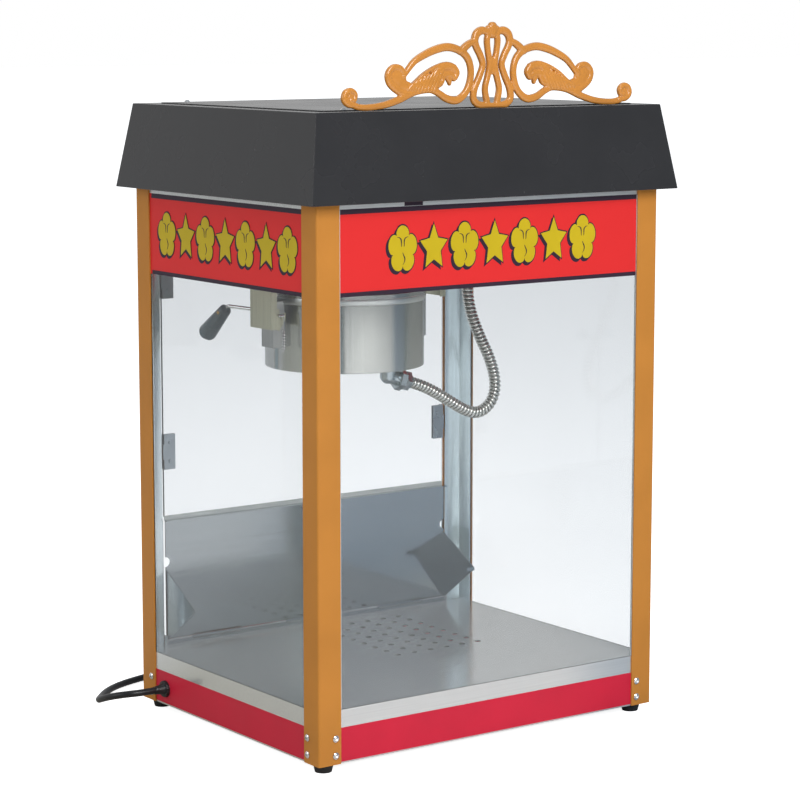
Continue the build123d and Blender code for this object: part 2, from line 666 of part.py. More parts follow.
def make_lid_front():
    """Half lid that lifts about its hinge beside the bridge, with a folded finger lip."""
    plate_low = RIM_TOP + BODY_GAP
    with BuildPart() as kettle_lid_front:
        with BuildSketch(Plane((KETTLE_X, LID_HINGE_Y, plate_low))):
            with Locations((0, KETTLE_Y - LID_HINGE_Y)):
                Circle(LID_RADIUS)
            with Locations((0, LID_RADIUS)):
                Rectangle(3 * LID_RADIUS, 2 * LID_RADIUS, mode=Mode.SUBTRACT)
        extrude(amount=SHEET)
        box((KETTLE_X - 15, KETTLE_X + 15), (KETTLE_Y - 98.2, KETTLE_Y - 97), (plate_low, plate_low + 12))
        for low, high in LID_BARRELS:
            rod((KETTLE_X + low, LID_HINGE_Y, LID_HINGE_Z), (KETTLE_X + high, LID_HINGE_Y, LID_HINGE_Z), 3.5)
        for low, high in LID_BARRELS:
            rod((KETTLE_X + low - 1, LID_HINGE_Y, LID_HINGE_Z), (KETTLE_X + high + 1, LID_HINGE_Y, LID_HINGE_Z),
                2 + RUN_FIT, Mode.SUBTRACT)
        for ear in (-65, -16.5, 16.5, 65):
            box((KETTLE_X + ear - 1.6, KETTLE_X + ear + 1.6), (LID_HINGE_Y - 4, LID_HINGE_Y + 1), (590, 605),
                Mode.SUBTRACT)
    save(kettle_lid_front.part, "kettle_lid_front")


def make_lid_rear():
    """Fixed half lid behind the bridge, with a flange against the bridge's side."""
    with BuildPart() as kettle_lid_rear:
        with BuildSketch(Plane((KETTLE_X, KETTLE_Y + BRIDGE_HALF, RIM_TOP))):
            with Locations((0, -BRIDGE_HALF)):
                Circle(LID_RADIUS)
            with Locations((0, -LID_RADIUS)):
                Rectangle(3 * LID_RADIUS, 2 * LID_RADIUS, mode=Mode.SUBTRACT)
        extrude(amount=SHEET)
        box((KETTLE_X - 60, KETTLE_X + 60), (KETTLE_Y + BRIDGE_HALF, KETTLE_Y + BRIDGE_HALF + SHEET),
            (RIM_TOP, RIM_TOP + 6))
    save(kettle_lid_rear.part, "kettle_lid_rear")


TONGUE_TOP = PIVOT_Z + 18


def make_stirrer():
    """Wiper arms near the pan's floor, shaft through the bridge, flat tongue on top."""
    with BuildPart() as stirrer:
        rod((KETTLE_X, KETTLE_Y, 516), (KETTLE_X, KETTLE_Y, PIVOT_Z - 1), 4)
        rod((KETTLE_X, KETTLE_Y, 516), (KETTLE_X, KETTLE_Y, 530), 9)
        rod((KETTLE_X, KETTLE_Y, RIM_TOP + 6.3), (KETTLE_X, KETTLE_Y, PIVOT_Z + 1), 6)
        box((KETTLE_X - 88, KETTLE_X + 88), (KETTLE_Y - 1.5, KETTLE_Y + 1.5), (516, 526))
        box((KETTLE_X - 1.5, KETTLE_X + 1.5), (KETTLE_Y - 6, KETTLE_Y + 6), (PIVOT_Z, TONGUE_TOP))
    save(stirrer.part, "stirrer")


def make_drive_shaft():
    """Shaft from the gearbox, with a forked end whose slot runs along Y over the tongue."""
    fork_low = PIVOT_Z + 12.5
    with BuildPart() as drive_shaft:
        rod((KETTLE_X, KETTLE_Y, fork_low), (KETTLE_X, KETTLE_Y, fork_low + 20), 8)
        rod((KETTLE_X, KETTLE_Y, fork_low + 20), (KETTLE_X, KETTLE_Y, CEILING_BOTTOM + 34), 5)
        box((KETTLE_X - 2, KETTLE_X + 2), (KETTLE_Y - 10, KETTLE_Y + 10), (fork_low - 1, PIVOT_Z + 21.5),
            Mode.SUBTRACT)
    save(drive_shaft.part, "drive_shaft")


# ---------------------------------------------------------------- doors and ramp
HINGE_HEIGHTS = ((334.0, 384.0), (575.0, 625.0))


def make_door_hinges():
    """Fixed halves of the four door hinges: leaf on the post, two knuckles and the pin."""
    with BuildPart() as door_hinges:
        for sx in (-1, 1):
            x = sx * DOOR_HINGE_X
            for low, high in HINGE_HEIGHTS:
                box(sorted((x + sx * 18, x + sx * 3.6)), (HALF_D, HALF_D + 1.5), (low, high))
                for z_low, z_high in ((low, low + 14), (high - 14, high)):
                    rod((x, DOOR_HINGE_Y, z_low), (x, DOOR_HINGE_Y, z_high), 3)
                    box(sorted((x + sx * 1.5, x + sx * 4)), (HALF_D, DOOR_HINGE_Y), (z_low, z_high))
                rod((x, DOOR_HINGE_Y, low), (x, DOOR_HINGE_Y, high), 1.5)
    save(door_hinges.part, "door_hinges")


def make_door(sx, name):
    """One glass door with two clamped hinge halves and a knob."""
    pane_y = (IN_Y - GLASS, IN_Y)
    pane_x = sorted((sx * (DOOR_HINGE_X - 2), sx * 1.5))
    with BuildPart() as pane:
        box(pane_x, pane_y, (DOOR_BOTTOM, DOOR_TOP))
    save(pane.part, f"door_glass_{name}")
    x = sx * DOOR_HINGE_X
    with BuildPart() as fittings:
        for low, high in HINGE_HEIGHTS:
            knuckle = (low + 14.3, high - 14.3)
            clamp_x = sorted((x - sx * 2, x - sx * 20))
            box(clamp_x, (pane_y[0] - 1.5, pane_y[0]), (low, high))
            box(clamp_x, (pane_y[1], pane_y[1] + 1.5), (low, high))
            box(sorted((x - sx * 2, x - sx * 0.5)), (pane_y[0] - 1.5, pane_y[1] + 1.5), knuckle)
            box(sorted((x - sx * 2, x - sx * 0.5)), (pane_y[1] + 1.5, DOOR_HINGE_Y), knuckle)
            rod((x, DOOR_HINGE_Y, knuckle[0]), (x, DOOR_HINGE_Y, knuckle[1]), 3)
            rod((x, DOOR_HINGE_Y, low), (x, DOOR_HINGE_Y, high), 1.5 + RUN_FIT, Mode.SUBTRACT)
            for z in (low + 11.5, high - 11.5):
                rod((x - sx * 12, pane_y[0] - 1.5, z), (x - sx * 12, pane_y[0] - 3.3, z), 3)
        knob_x = sx * 22
        knob_z = 470.0
        rod((knob_x, pane_y[1], knob_z), (knob_x, pane_y[1] + 9, knob_z), 5)
        rod((knob_x, pane_y[1] + 9, knob_z), (knob_x, pane_y[1] + 18, knob_z), 10)
        rod((knob_x, pane_y[0] - 2.5, knob_z), (knob_x, pane_y[0], knob_z), 7)
    save(fittings.part, f"door_fittings_{name}")


def make_ramp():
    """Tilting gate: panel, folded top lip, end wings and hinge barrels."""
    face_y = (RAMP_PIVOT_Y - 1.0, RAMP_PIVOT_Y + 0.5)
    with BuildPart() as ramp:
        box((-RAMP_HALF, RAMP_HALF), face_y, (RAMP_PIVOT_Z, RAMP_TOP))
        box((-RAMP_HALF, RAMP_HALF), (face_y[0] - 9, face_y[1]), (RAMP_TOP - 1.5, RAMP_TOP))
        for sx in (-1, 1):
            with BuildSketch(Plane((sx * RAMP_HALF, 0, 0), x_dir=(0, 1, 0), z_dir=(1, 0, 0))) as wing:
                with BuildLine():
                    Polyline((face_y[1], 191), (137, 148), (139, 143), (209.5, 91), (face_y[1], 93), close=True)
                make_face()
            extrude(wing.sketch, amount=-sx * 1.5)
            tip_x = sorted((sx * RAMP_HALF, sx * (RAMP_HALF - 14)))
            box(tip_x, (136.5, 138), (143, 148.5))
            with BuildSketch(Plane((sx * RAMP_HALF, 0, 202), x_dir=(1, 0, 0), z_dir=(0, -1, 0))) as notch:
                Circle(7)
            extrude(notch.sketch, amount=-230, mode=Mode.SUBTRACT)
        for low, high in ((-200, -120), (-40, 40), (120, 200)):
            rod((low, RAMP_PIVOT_Y, RAMP_PIVOT_Z), (high, RAMP_PIVOT_Y, RAMP_PIVOT_Z), 4.2)
        rod((-RAMP_HALF - 1, RAMP_PIVOT_Y, RAMP_PIVOT_Z), (RAMP_HALF + 1, RAMP_PIVOT_Y, RAMP_PIVOT_Z),
            2.5 + RUN_FIT, Mode.SUBTRACT)
    save(ramp.part, "ramp")


def make_ramp_hinge():
    """Hinge rod of the ramp and its two end brackets on the deck."""
    with BuildPart() as ramp_hinge:
        rod((-245.4, RAMP_PIVOT_Y, RAMP_PIVOT_Z), (245.4, RAMP_PIVOT_Y, RAMP_PIVOT_Z), 2.5)
        for sx in (-1, 1):
            box(sorted((sx * 243.4, sx * 245.4)), (RAMP_PIVOT_Y - 6, RAMP_PIVOT_Y + 5), (DECK_TOP, 97))
    save(ramp_hinge.part, "ramp_hinge")


# ---------------------------------------------------------------- mains cord
CORD_POINTS = [(-297, 162.5, 35), (-318, 162.5, 35), (-337.4, 172.8, 33.5), (-349.7, 191, 28.5),
               (-352.2, 214.9, 20.5), (-342.5, 239, 12.5), (-323.5, 267.2, 7), (-300.4, 294.8, 5.2),
               (-271.3, 316, 5.2), (-234.2, 331, 5.2), (-190.5, 342, 5.2)]
COIL_ENTRY = (-138.0, 349.5, 5.2)
PLUG_FACE_X = -196.0
PLUG_Z = 12.3            # the plug's body lies on the floor


def make_cord():
    """Gland on the left skirt, free cord, coil behind the machine and plug beside it."""
    with BuildPart() as cord_gland:
        rod((-IN_X + 10, GLAND_Y, GLAND_Z), (-IN_X, GLAND_Y, GLAND_Z), 7)
        rod((-IN_X, GLAND_Y, GLAND_Z), (-IN_X - 4.5, GLAND_Y, GLAND_Z), 11.8)
        with BuildSketch(Plane(origin=(-IN_X - 4.5, GLAND_Y, GLAND_Z), z_dir=(-1, 0, 0))) as thick:
            Circle(8.4)
        with BuildSketch(Plane(origin=CORD_POINTS[0], z_dir=(-1, 0, 0))) as thin:
            Circle(5.6)
        loft([thick.sketch, thin.sketch])
    save(cord_gland.part, "cord_gland")
    tail_y = COIL_CENTRE[1] - COIL_RADIUS
    with BuildPart() as power_cord:
        add(route_tube(CORD_POINTS + [COIL_ENTRY], CORD_DIAMETER, "power_cord"))
        rod((PLUG_FACE_X, tail_y, PLUG_Z), (COIL_CENTRE[0] - 30, tail_y, PLUG_Z), CORD_DIAMETER / 2)
    save(power_cord.part, "power_cord")
    with BuildPart() as power_cord_coil:
        with BuildSketch(Plane((COIL_CENTRE[0], COIL_CENTRE[1], 0.4))):
            Circle(COIL_RADIUS + CORD_DIAMETER)
            Circle(COIL_RADIUS - CORD_DIAMETER, mode=Mode.SUBTRACT)
        extrude(amount=2 * CORD_DIAMETER)
    save(power_cord_coil.part, "power_cord_coil")
    with BuildPart() as plug:
        with BuildSketch(Plane((PLUG_FACE_X, tail_y, PLUG_Z), x_dir=(0, 1, 0), z_dir=(-1, 0, 0))) as neck:
            Circle(7)
        with BuildSketch(Plane((PLUG_FACE_X - 22, tail_y, PLUG_Z), x_dir=(0, 1, 0), z_dir=(-1, 0, 0))) as collar:
            RectangleRounded(26, 22, 8)
        loft([neck.sketch, collar.sketch])
        with BuildSketch(Plane((PLUG_FACE_X - 22, tail_y, PLUG_Z), x_dir=(0, 1, 0), z_dir=(-1, 0, 0))) as body:
            RectangleRounded(28, 24, 8)
        extrude(body.sketch, amount=14)
        for dy in (-6.35, 6.35):
            box((PLUG_FACE_X - 54, PLUG_FACE_X - 36), (tail_y + dy - 0.75, tail_y + dy + 0.75),
                (PLUG_Z - 0.2, PLUG_Z + 6.2))
        rod((PLUG_FACE_X - 36, tail_y, PLUG_Z - 6.5), (PLUG_FACE_X - 57, tail_y, PLUG_Z - 6.5), 2.4)
    save(plug.part, "plug")


make_feet()
make_base_floor()
make_base_skirt()
make_base_skirt_rear()
make_deck_pan()
make_drawer()
make_drawer_runners()
for post_x, post_y, post_name in ((-1, -1, "post_front_left"), (1, -1, "post_front_right"),
                                  (-1, 1, "post_rear_left"), (1, 1, "post_rear_right")):
    make_post(post_x, post_y, post_name)
make_post_screws()
make_inner_posts()
make_glass()
make_signs()
make_rear_header()
make_top_frame()
make_ceiling_panel()
make_canopy()
make_crest()
make_controls()
make_gear_motor()
make_lamp()
make_hanger(-1, LEFT_HANGER_OFFSET, 549.0, "hanger_left")
make_hanger(1, RIGHT_HANGER_OFFSET, 577.0, "hanger_right")
make_kettle_catch()
make_kettle_shell()
make_kettle_pan()
make_heater_plate()
make_kettle_bridge()
make_kettle_arms()
make_dump_handle()
make_conduit()
make_lid_front()
make_lid_rear()
make_stirrer()
make_drive_shaft()
make_door_hinges()
make_door(-1, "left")
make_door(1, "right")
make_ramp()
make_ramp_hinge()
make_cord()
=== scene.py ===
"""Countertop popcorn machine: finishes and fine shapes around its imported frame.

Everything is in metres in the frame's own axes: +X to the customer's right, +Y towards the
operator, +Z up, with the feet on the floor at Z = 0.
"""

import json
import logging
import math
from dataclasses import dataclass, field
from enum import Enum

import bmesh
import bpy
import numpy as np
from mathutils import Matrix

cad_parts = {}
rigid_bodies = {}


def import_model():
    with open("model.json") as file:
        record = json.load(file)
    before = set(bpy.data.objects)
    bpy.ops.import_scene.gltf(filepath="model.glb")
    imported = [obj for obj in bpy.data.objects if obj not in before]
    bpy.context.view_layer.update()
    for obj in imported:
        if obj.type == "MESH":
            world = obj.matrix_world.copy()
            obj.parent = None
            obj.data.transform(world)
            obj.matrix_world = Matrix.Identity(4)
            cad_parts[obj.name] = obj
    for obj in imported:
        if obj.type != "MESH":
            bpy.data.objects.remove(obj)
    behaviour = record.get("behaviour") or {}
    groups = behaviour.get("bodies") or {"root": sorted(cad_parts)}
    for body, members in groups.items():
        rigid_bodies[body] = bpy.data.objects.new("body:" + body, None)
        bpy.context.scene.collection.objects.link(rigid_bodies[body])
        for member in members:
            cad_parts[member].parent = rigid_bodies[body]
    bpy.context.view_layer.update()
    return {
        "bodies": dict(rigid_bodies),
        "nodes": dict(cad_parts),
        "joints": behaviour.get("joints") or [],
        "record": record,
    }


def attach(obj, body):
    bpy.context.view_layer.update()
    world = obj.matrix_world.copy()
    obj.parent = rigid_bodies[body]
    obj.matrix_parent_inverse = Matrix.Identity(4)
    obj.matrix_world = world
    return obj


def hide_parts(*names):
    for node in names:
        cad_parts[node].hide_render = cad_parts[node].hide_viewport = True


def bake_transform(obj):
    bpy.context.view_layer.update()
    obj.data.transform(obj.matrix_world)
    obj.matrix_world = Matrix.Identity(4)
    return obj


log = logging.getLogger("popcorn_machine")

MM = 0.001
FULL_TURN = 2 * math.pi
MASK_LOW, MASK_HIGH = 0.3, 0.7  # the span that a noise mask really covers
Colour = tuple[float, float, float]
Point = tuple[float, float, float]
Span = tuple[float, float]
Surface = tuple[np.ndarray, np.ndarray]  # points and faces


class Grain(Enum):
    """Which way a sheet was brushed: how fast its streaks change along X, Y and Z, per metre."""

    ALONG_X = (4.0, 320.0, 320.0)
    ALONG_Z = (320.0, 320.0, 4.0)


class Kind(Enum):
    """What a sign's ornament shows."""

    KERNEL = "kernel"
    STAR = "star"


# ------------------------------------------------------------------ node groups
class Effects:
    """Shader node groups that several finishes share, each built once."""

    @staticmethod
    def _group(name: str, inputs: dict[str, tuple[str, object]], outputs: dict[str, str]) -> bpy.types.NodeTree:
        """Makes an empty group with its sockets.

        Args:
            name: the group's name.
            inputs: socket name to (short type, default).
            outputs: socket name to short type.

        Returns:
            The new node tree.
        """
        tree = bpy.data.node_groups.new(name, "ShaderNodeTree")
        for key, (kind, value) in inputs.items():
            socket = tree.interface.new_socket(key, in_out="INPUT", socket_type=f"NodeSocket{kind}")
            if value is not None:
                socket.default_value = value
        for key, kind in outputs.items():
            tree.interface.new_socket(key, in_out="OUTPUT", socket_type=f"NodeSocket{kind}")
        return tree

    @staticmethod
    def brushed() -> bpy.types.NodeTree:
        """Streaks of a brushed sheet: noise stretched along the brushing, with slow clouds over it.

        Returns:
            Group with outputs Streak, Cloud (both 0 to 1) and Normal.
        """
        found = bpy.data.node_groups.get("brushed sheet")
        if found:
            return found
        tree = Effects._group("brushed sheet", {"Stretch": ("Vector", (1.0, 1.0, 1.0)), "Depth": ("Float", 0.05)},
                              {"Streak": "Float", "Cloud": "Float", "Normal": "Vector"})
        nodes, links = tree.nodes, tree.links
        enter, leave = nodes.new("NodeGroupInput"), nodes.new("NodeGroupOutput")
        place = nodes.new("ShaderNodeTexCoord")
        stretched = nodes.new("ShaderNodeVectorMath")
        stretched.operation = "MULTIPLY"
        links.new(place.outputs["Object"], stretched.inputs[0])
        links.new(enter.outputs["Stretch"], stretched.inputs[1])
        streak = nodes.new("ShaderNodeTexNoise")
        streak.inputs["Scale"].default_value = 1.0
        streak.inputs["Detail"].default_value = 3.0
        streak.inputs["Roughness"].default_value = 0.65
        links.new(stretched.outputs[0], streak.inputs["Vector"])
        cloud = nodes.new("ShaderNodeTexNoise")
        cloud.inputs["Scale"].default_value = 11.0
        cloud.inputs["Detail"].default_value = 2.0
        links.new(place.outputs["Object"], cloud.inputs["Vector"])
        bump = nodes.new("ShaderNodeBump")
        bump.inputs["Distance"].default_value = 0.0002
        links.new(enter.outputs["Depth"], bump.inputs["Strength"])
        links.new(streak.outputs["Fac"], bump.inputs["Height"])
        links.new(streak.outputs["Fac"], leave.inputs["Streak"])
        links.new(cloud.outputs["Fac"], leave.inputs["Cloud"])
        links.new(bump.outputs["Normal"], leave.inputs["Normal"])
        return tree

    @staticmethod
    def skin() -> bpy.types.NodeTree:
        """Fine skin of paint or moulding: a pebble of the given count per metre, with slow blotches.

        Returns:
            Group with outputs Blotch (0 to 1) and Normal.
        """
        found = bpy.data.node_groups.get("fine skin")
        if found:
            return found
        tree = Effects._group("fine skin", {"Count": ("Float", 500.0), "Depth": ("Float", 0.1)},
                              {"Blotch": "Float", "Normal": "Vector"})
        nodes, links = tree.nodes, tree.links
        enter, leave = nodes.new("NodeGroupInput"), nodes.new("NodeGroupOutput")
        place = nodes.new("ShaderNodeTexCoord")
        pebble = nodes.new("ShaderNodeTexNoise")
        pebble.inputs["Detail"].default_value = 1.0
        links.new(place.outputs["Object"], pebble.inputs["Vector"])
        links.new(enter.outputs["Count"], pebble.inputs["Scale"])
        blotch = nodes.new("ShaderNodeTexNoise")
        blotch.inputs["Scale"].default_value = 14.0
        blotch.inputs["Detail"].default_value = 3.0
        links.new(place.outputs["Object"], blotch.inputs["Vector"])
        bump = nodes.new("ShaderNodeBump")
        bump.inputs["Distance"].default_value = 0.0003
        links.new(enter.outputs["Depth"], bump.inputs["Strength"])
        links.new(pebble.outputs["Fac"], bump.inputs["Height"])
        links.new(blotch.outputs["Fac"], leave.inputs["Blotch"])
        links.new(bump.outputs["Normal"], leave.inputs["Normal"])
        return tree


class Recipe:
    """A material under construction: its Principled shader and short ways to feed it."""

    def __init__(self, name: str) -> None:
        """Starts a material.

        Args:
            name: the material's name.
        """
        self.material = bpy.data.materials.new(name)
        self.material.use_nodes = True
        self.tree = self.material.node_tree
        self.shader = self.tree.nodes["Principled BSDF"]

    def node(self, kind: str) -> bpy.types.Node:
        """Adds a node of that type."""
        return self.tree.nodes.new(f"ShaderNode{kind}")

    def effect(self, tree: bpy.types.NodeTree, **values: object) -> bpy.types.Node:
        """Places a shared group.

        Args:
            tree: the group.
            values: input socket to its value.

        Returns:
            The group's node.
        """
        placed = self.node("Group")
        placed.node_tree = tree
        for key, value in values.items():
            placed.inputs[key].default_value = value
        return placed

    def link(self, source: bpy.types.NodeSocket, target: bpy.types.NodeSocket) -> None:
        """Joins two sockets."""
        self.tree.links.new(source, target)

    def spread(self, source: bpy.types.NodeSocket, low: float, high: float, socket: str) -> None:
        """Maps a mask's usual span onto a range and feeds it to the shader.

        Args:
            source: the mask.
            low: the value where the mask is low.
            high: the value where it is high.
            socket: the shader's input.
        """
        ramp = self.node("MapRange")
        ramp.inputs["From Min"].default_value = MASK_LOW
        ramp.inputs["From Max"].default_value = MASK_HIGH
        ramp.inputs["To Min"].default_value = low
        ramp.inputs["To Max"].default_value = high
        self.link(source, ramp.inputs["Value"])
        self.link(ramp.outputs["Result"], self.shader.inputs[socket])

    def tone(self, source: bpy.types.NodeSocket, dark: Colour, light: Colour) -> None:
        """Feeds Base Color with a blend of two colours by a mask.

        Args:
            source: the mask.
            dark: the colour at its low end.
            light: the colour at its high end.
        """
        ramp = self.node("ValToRGB")
        ramp.color_ramp.elements[0].position = MASK_LOW
        ramp.color_ramp.elements[0].color = (*dark, 1.0)
        ramp.color_ramp.elements[1].position = MASK_HIGH
        ramp.color_ramp.elements[1].color = (*light, 1.0)
        self.link(source, ramp.inputs["Fac"])
        self.link(ramp.outputs["Color"], self.shader.inputs["Base Color"])

    def fix(self, **values: float) -> None:
        """Sets the shader's plain sockets; an underscore in a name stands for a space."""
        for key, value in values.items():
            self.shader.inputs[key.replace("_", " ")].default_value = value


def shaded(colour: Colour, share: float) -> Colour:
    """The colour times a share, at most 1 in each channel."""
    return tuple(min(1.0, c * share) for c in colour)


# ------------------------------------------------------------------ finishes
@dataclass(frozen=True)
class BrushedSteel:
    """Brushed sheet metal. grain says which way it was brushed, depth how deep the streaks are, contrast how
    far they change the tone, metal how much of it is bare."""

    name: str
    colour: Colour = (0.60, 0.62, 0.63)
    grain: Grain = Grain.ALONG_X
    rough: float = 0.3
    depth: float = 0.02
    contrast: float = 0.10
    metal: float = 1.0

    def make(self) -> bpy.types.Material:
        """Builds the material.

        Returns:
            The material.
        """
        recipe = Recipe(self.name)
        grain = recipe.effect(Effects.brushed(), Stretch=self.grain.value, Depth=self.depth)
        recipe.tone(grain.outputs["Streak"], shaded(self.colour, 1 - self.contrast),
                    shaded(self.colour, 1 + self.contrast))
        recipe.spread(grain.outputs["Cloud"], self.rough * 0.8, self.rough * 1.25, "Roughness")
        recipe.link(grain.outputs["Normal"], recipe.shader.inputs["Normal"])
        recipe.fix(Metallic=self.metal)
        return recipe.material


@dataclass(frozen=True)
class PowderCoat:
    """Baked paint over steel, with a fine pebble; gloss is the clear layer's share, waver how far the
    roughness drifts."""

    name: str
    colour: Colour
    rough: float = 0.35
    gloss: float = 0.06
    specular: float = 0.2
    pebble: float = 650.0
    depth: float = 0.08
    contrast: float = 0.05
    waver: float = 0.12

    def make(self) -> bpy.types.Material:
        """Builds the material.

        Returns:
            The material.
        """
        recipe = Recipe(self.name)
        skin = recipe.effect(Effects.skin(), Count=self.pebble, Depth=self.depth)
        recipe.tone(skin.outputs["Blotch"], shaded(self.colour, 1 - self.contrast),
                    shaded(self.colour, 1 + self.contrast))
        recipe.spread(skin.outputs["Blotch"], self.rough * (1 - self.waver), self.rough * (1 + self.waver),
                      "Roughness")
        recipe.link(skin.outputs["Normal"], recipe.shader.inputs["Normal"])
        recipe.fix(Coat_Weight=self.gloss, Coat_Roughness=0.12, Specular_IOR_Level=self.specular)
        return recipe.material


@dataclass(frozen=True)
class Moulded:
    """Moulded rubber or plastic: matt to gloss, with a soft grain."""

    name: str
    colour: Colour
    rough: float = 0.5
    grain: float = 900.0
    depth: float = 0.15
    specular: float = 0.5

    def make(self) -> bpy.types.Material:
        """Builds the material.

        Returns:
            The material.
        """
        recipe = Recipe(self.name)
        skin = recipe.effect(Effects.skin(), Count=self.grain, Depth=self.depth)
        recipe.tone(skin.outputs["Blotch"], shaded(self.colour, 0.85), shaded(self.colour, 1.15))
        recipe.spread(skin.outputs["Blotch"], self.rough * 0.85, self.rough * 1.15, "Roughness")
        recipe.link(skin.outputs["Normal"], recipe.shader.inputs["Normal"])
        recipe.fix(Specular_IOR_Level=self.specular)
        return recipe.material


@dataclass(frozen=True)
class PlainMetal:
    """Plated, polished or cast metal: one tone with slow clouds and a slight roll texture."""

    name: str
    colour: Colour = (0.72, 0.74, 0.75)
    rough: float = 0.25
    grain: float = 300.0
    depth: float = 0.1

    def make(self) -> bpy.types.Material:
        """Builds the material.

        Returns:
            The material.
        """
        recipe = Recipe(self.name)
        skin = recipe.effect(Effects.skin(), Count=self.grain, Depth=self.depth)
        recipe.tone(skin.outputs["Blotch"], shaded(self.colour, 0.88), shaded(self.colour, 1.1))
        recipe.spread(skin.outputs["Blotch"], self.rough * 0.75, self.rough * 1.3, "Roughness")
        recipe.link(skin.outputs["Normal"], recipe.shader.inputs["Normal"])
        recipe.fix(Metallic=1.0)
        return recipe.material


@dataclass(frozen=True)
class WoundMetalGrooveShade:
    """Bright strip wound into a hose: its grooves, marked on the mesh by a share, are painted darker as shade and
    made duller.
    """

    name: str
    crest: Colour
    # groove is the painted shade colour laid into the grooves
    groove: Colour
    rough: float = 0.18
    groove_rough: float = 0.5
    mark: str = "groove_shade_mask"

    def make(self) -> bpy.types.Material:
        """Builds the material.

        Returns:
            The material.
        """
        recipe = Recipe(self.name)
        share = recipe.node("Attribute")
        share.attribute_name = self.mark
        # painted shade: the grooves get the dark colour, the crests the bright one
        recipe.tone(share.outputs["Fac"], self.groove, self.crest)
        recipe.spread(share.outputs["Fac"], self.groove_rough, self.rough, "Roughness")
        recipe.fix(Metallic=1.0)
        return recipe.material


@dataclass(frozen=True)
class ClearGlass:
    """Float glass that lets lamps' light through to what stands behind it."""

    name: str
    colour: Colour = (0.885, 0.895, 0.902)
    rough: float = 0.0
    haze_count: float = 5.0
    haze_share: float = 0.985

    def make(self) -> bpy.types.Material:
        """Builds the material.

        Returns:
            The material.
        """
        recipe = Recipe(self.name)
        recipe.fix(Transmission_Weight=1.0, Roughness=self.rough, IOR=1.45, Metallic=0.0)
        haze = recipe.node("TexNoise")
        haze.inputs["Scale"].default_value = self.haze_count
        place = recipe.node("TexCoord")
        recipe.link(place.outputs["Object"], haze.inputs["Vector"])
        tint = recipe.node("ValToRGB")
        tint.color_ramp.elements[0].color = (*shaded(self.colour, self.haze_share), 1.0)
        tint.color_ramp.elements[1].color = (*self.colour, 1.0)
        recipe.link(haze.outputs["Fac"], tint.inputs["Fac"])
        recipe.link(tint.outputs["Color"], recipe.shader.inputs["Base Color"])
        path = recipe.node("LightPath")
        through = recipe.node("BsdfTransparent")
        through.inputs["Color"].default_value = (*self.colour, 1.0)
        mixed = recipe.node("MixShader")
        recipe.link(path.outputs["Is Shadow Ray"], mixed.inputs[0])
        recipe.link(recipe.shader.outputs[0], mixed.inputs[1])
        recipe.link(through.outputs[0], mixed.inputs[2])
        recipe.link(mixed.outputs[0], recipe.tree.nodes["Material Output"].inputs["Surface"])
        return recipe.material


RED_PAINT = PowderCoat("red base paint", (0.61, 0.016, 0.045), rough=0.42)
GOLD_PAINT = PowderCoat("gold post paint", (0.545, 0.222, 0.040), rough=0.42, specular=0.12)
BLACK_PAINT = PowderCoat("black canopy paint", (0.026, 0.026, 0.028), rough=0.26, gloss=0.0, specular=0.38,
                         depth=0.03, contrast=0.06)
CREST_GOLD = PowderCoat("gold crest paint", (0.60, 0.238, 0.034), rough=0.2, gloss=0.6, specular=0.5,
                        pebble=260.0, depth=0.1, contrast=0.12)
SIGN_RED = PowderCoat("sign red print", (0.74, 0.028, 0.028), rough=0.34, gloss=0.0, depth=0.0, contrast=0.01,
                      waver=0.02)
SIGN_DARK = PowderCoat("sign dark print", (0.035, 0.020, 0.035), rough=0.35, depth=0.02)
SIGN_YELLOW = PowderCoat("sign yellow print", (0.57, 0.42, 0.012), rough=0.35, depth=0.02)
DECK_STEEL = BrushedSteel("deck steel", (0.70, 0.71, 0.70), Grain.ALONG_X, rough=0.16, contrast=0.05,
                          metal=0.7)
EDGE_STEEL = BrushedSteel("edge steel", (0.72, 0.73, 0.72), Grain.ALONG_X, rough=0.42)
RAMP_STEEL = BrushedSteel("ramp steel", (0.48, 0.52, 0.54), Grain.ALONG_X, rough=0.11, depth=0.002,
                          contrast=0.05)
HEM_STEEL = BrushedSteel("hem steel", (0.68, 0.71, 0.69), Grain.ALONG_X, rough=0.35, metal=0.6)
POST_STEEL = BrushedSteel("inner post steel", (0.84, 0.92, 0.95), Grain.ALONG_Z, rough=0.2, contrast=0.05)
HANGER_STEEL = BrushedSteel("hanger steel", (0.66, 0.64, 0.47), Grain.ALONG_Z, rough=0.34, depth=0.004)
# its tone streaks run up the kettle: random grain tone, and painted sheen standing in for reflections drawn out by
# the brushing round it
KETTLE_STEEL_SHEEN_STREAKS = BrushedSteel("kettle steel with grain and painted sheen streaks", (0.63, 0.64, 0.61), Grain.ALONG_Z, rough=0.13, depth=0.01,
                            contrast=0.06)
# lighter than the kettle's own steel: a painted highlight along the rolled bead
RIM_STEEL_PAINTED_HIGHLIGHT = BrushedSteel("kettle rim steel lightened as painted highlight", (0.78, 0.80, 0.78), Grain.ALONG_X, rough=0.3, depth=0.0,
                         contrast=0.03)
ARM_STEEL = BrushedSteel("kettle arm steel", (0.52, 0.52, 0.50), Grain.ALONG_Z, rough=0.3)
ZINC = PlainMetal("zinc plate", (0.56, 0.63, 0.66), rough=0.2)
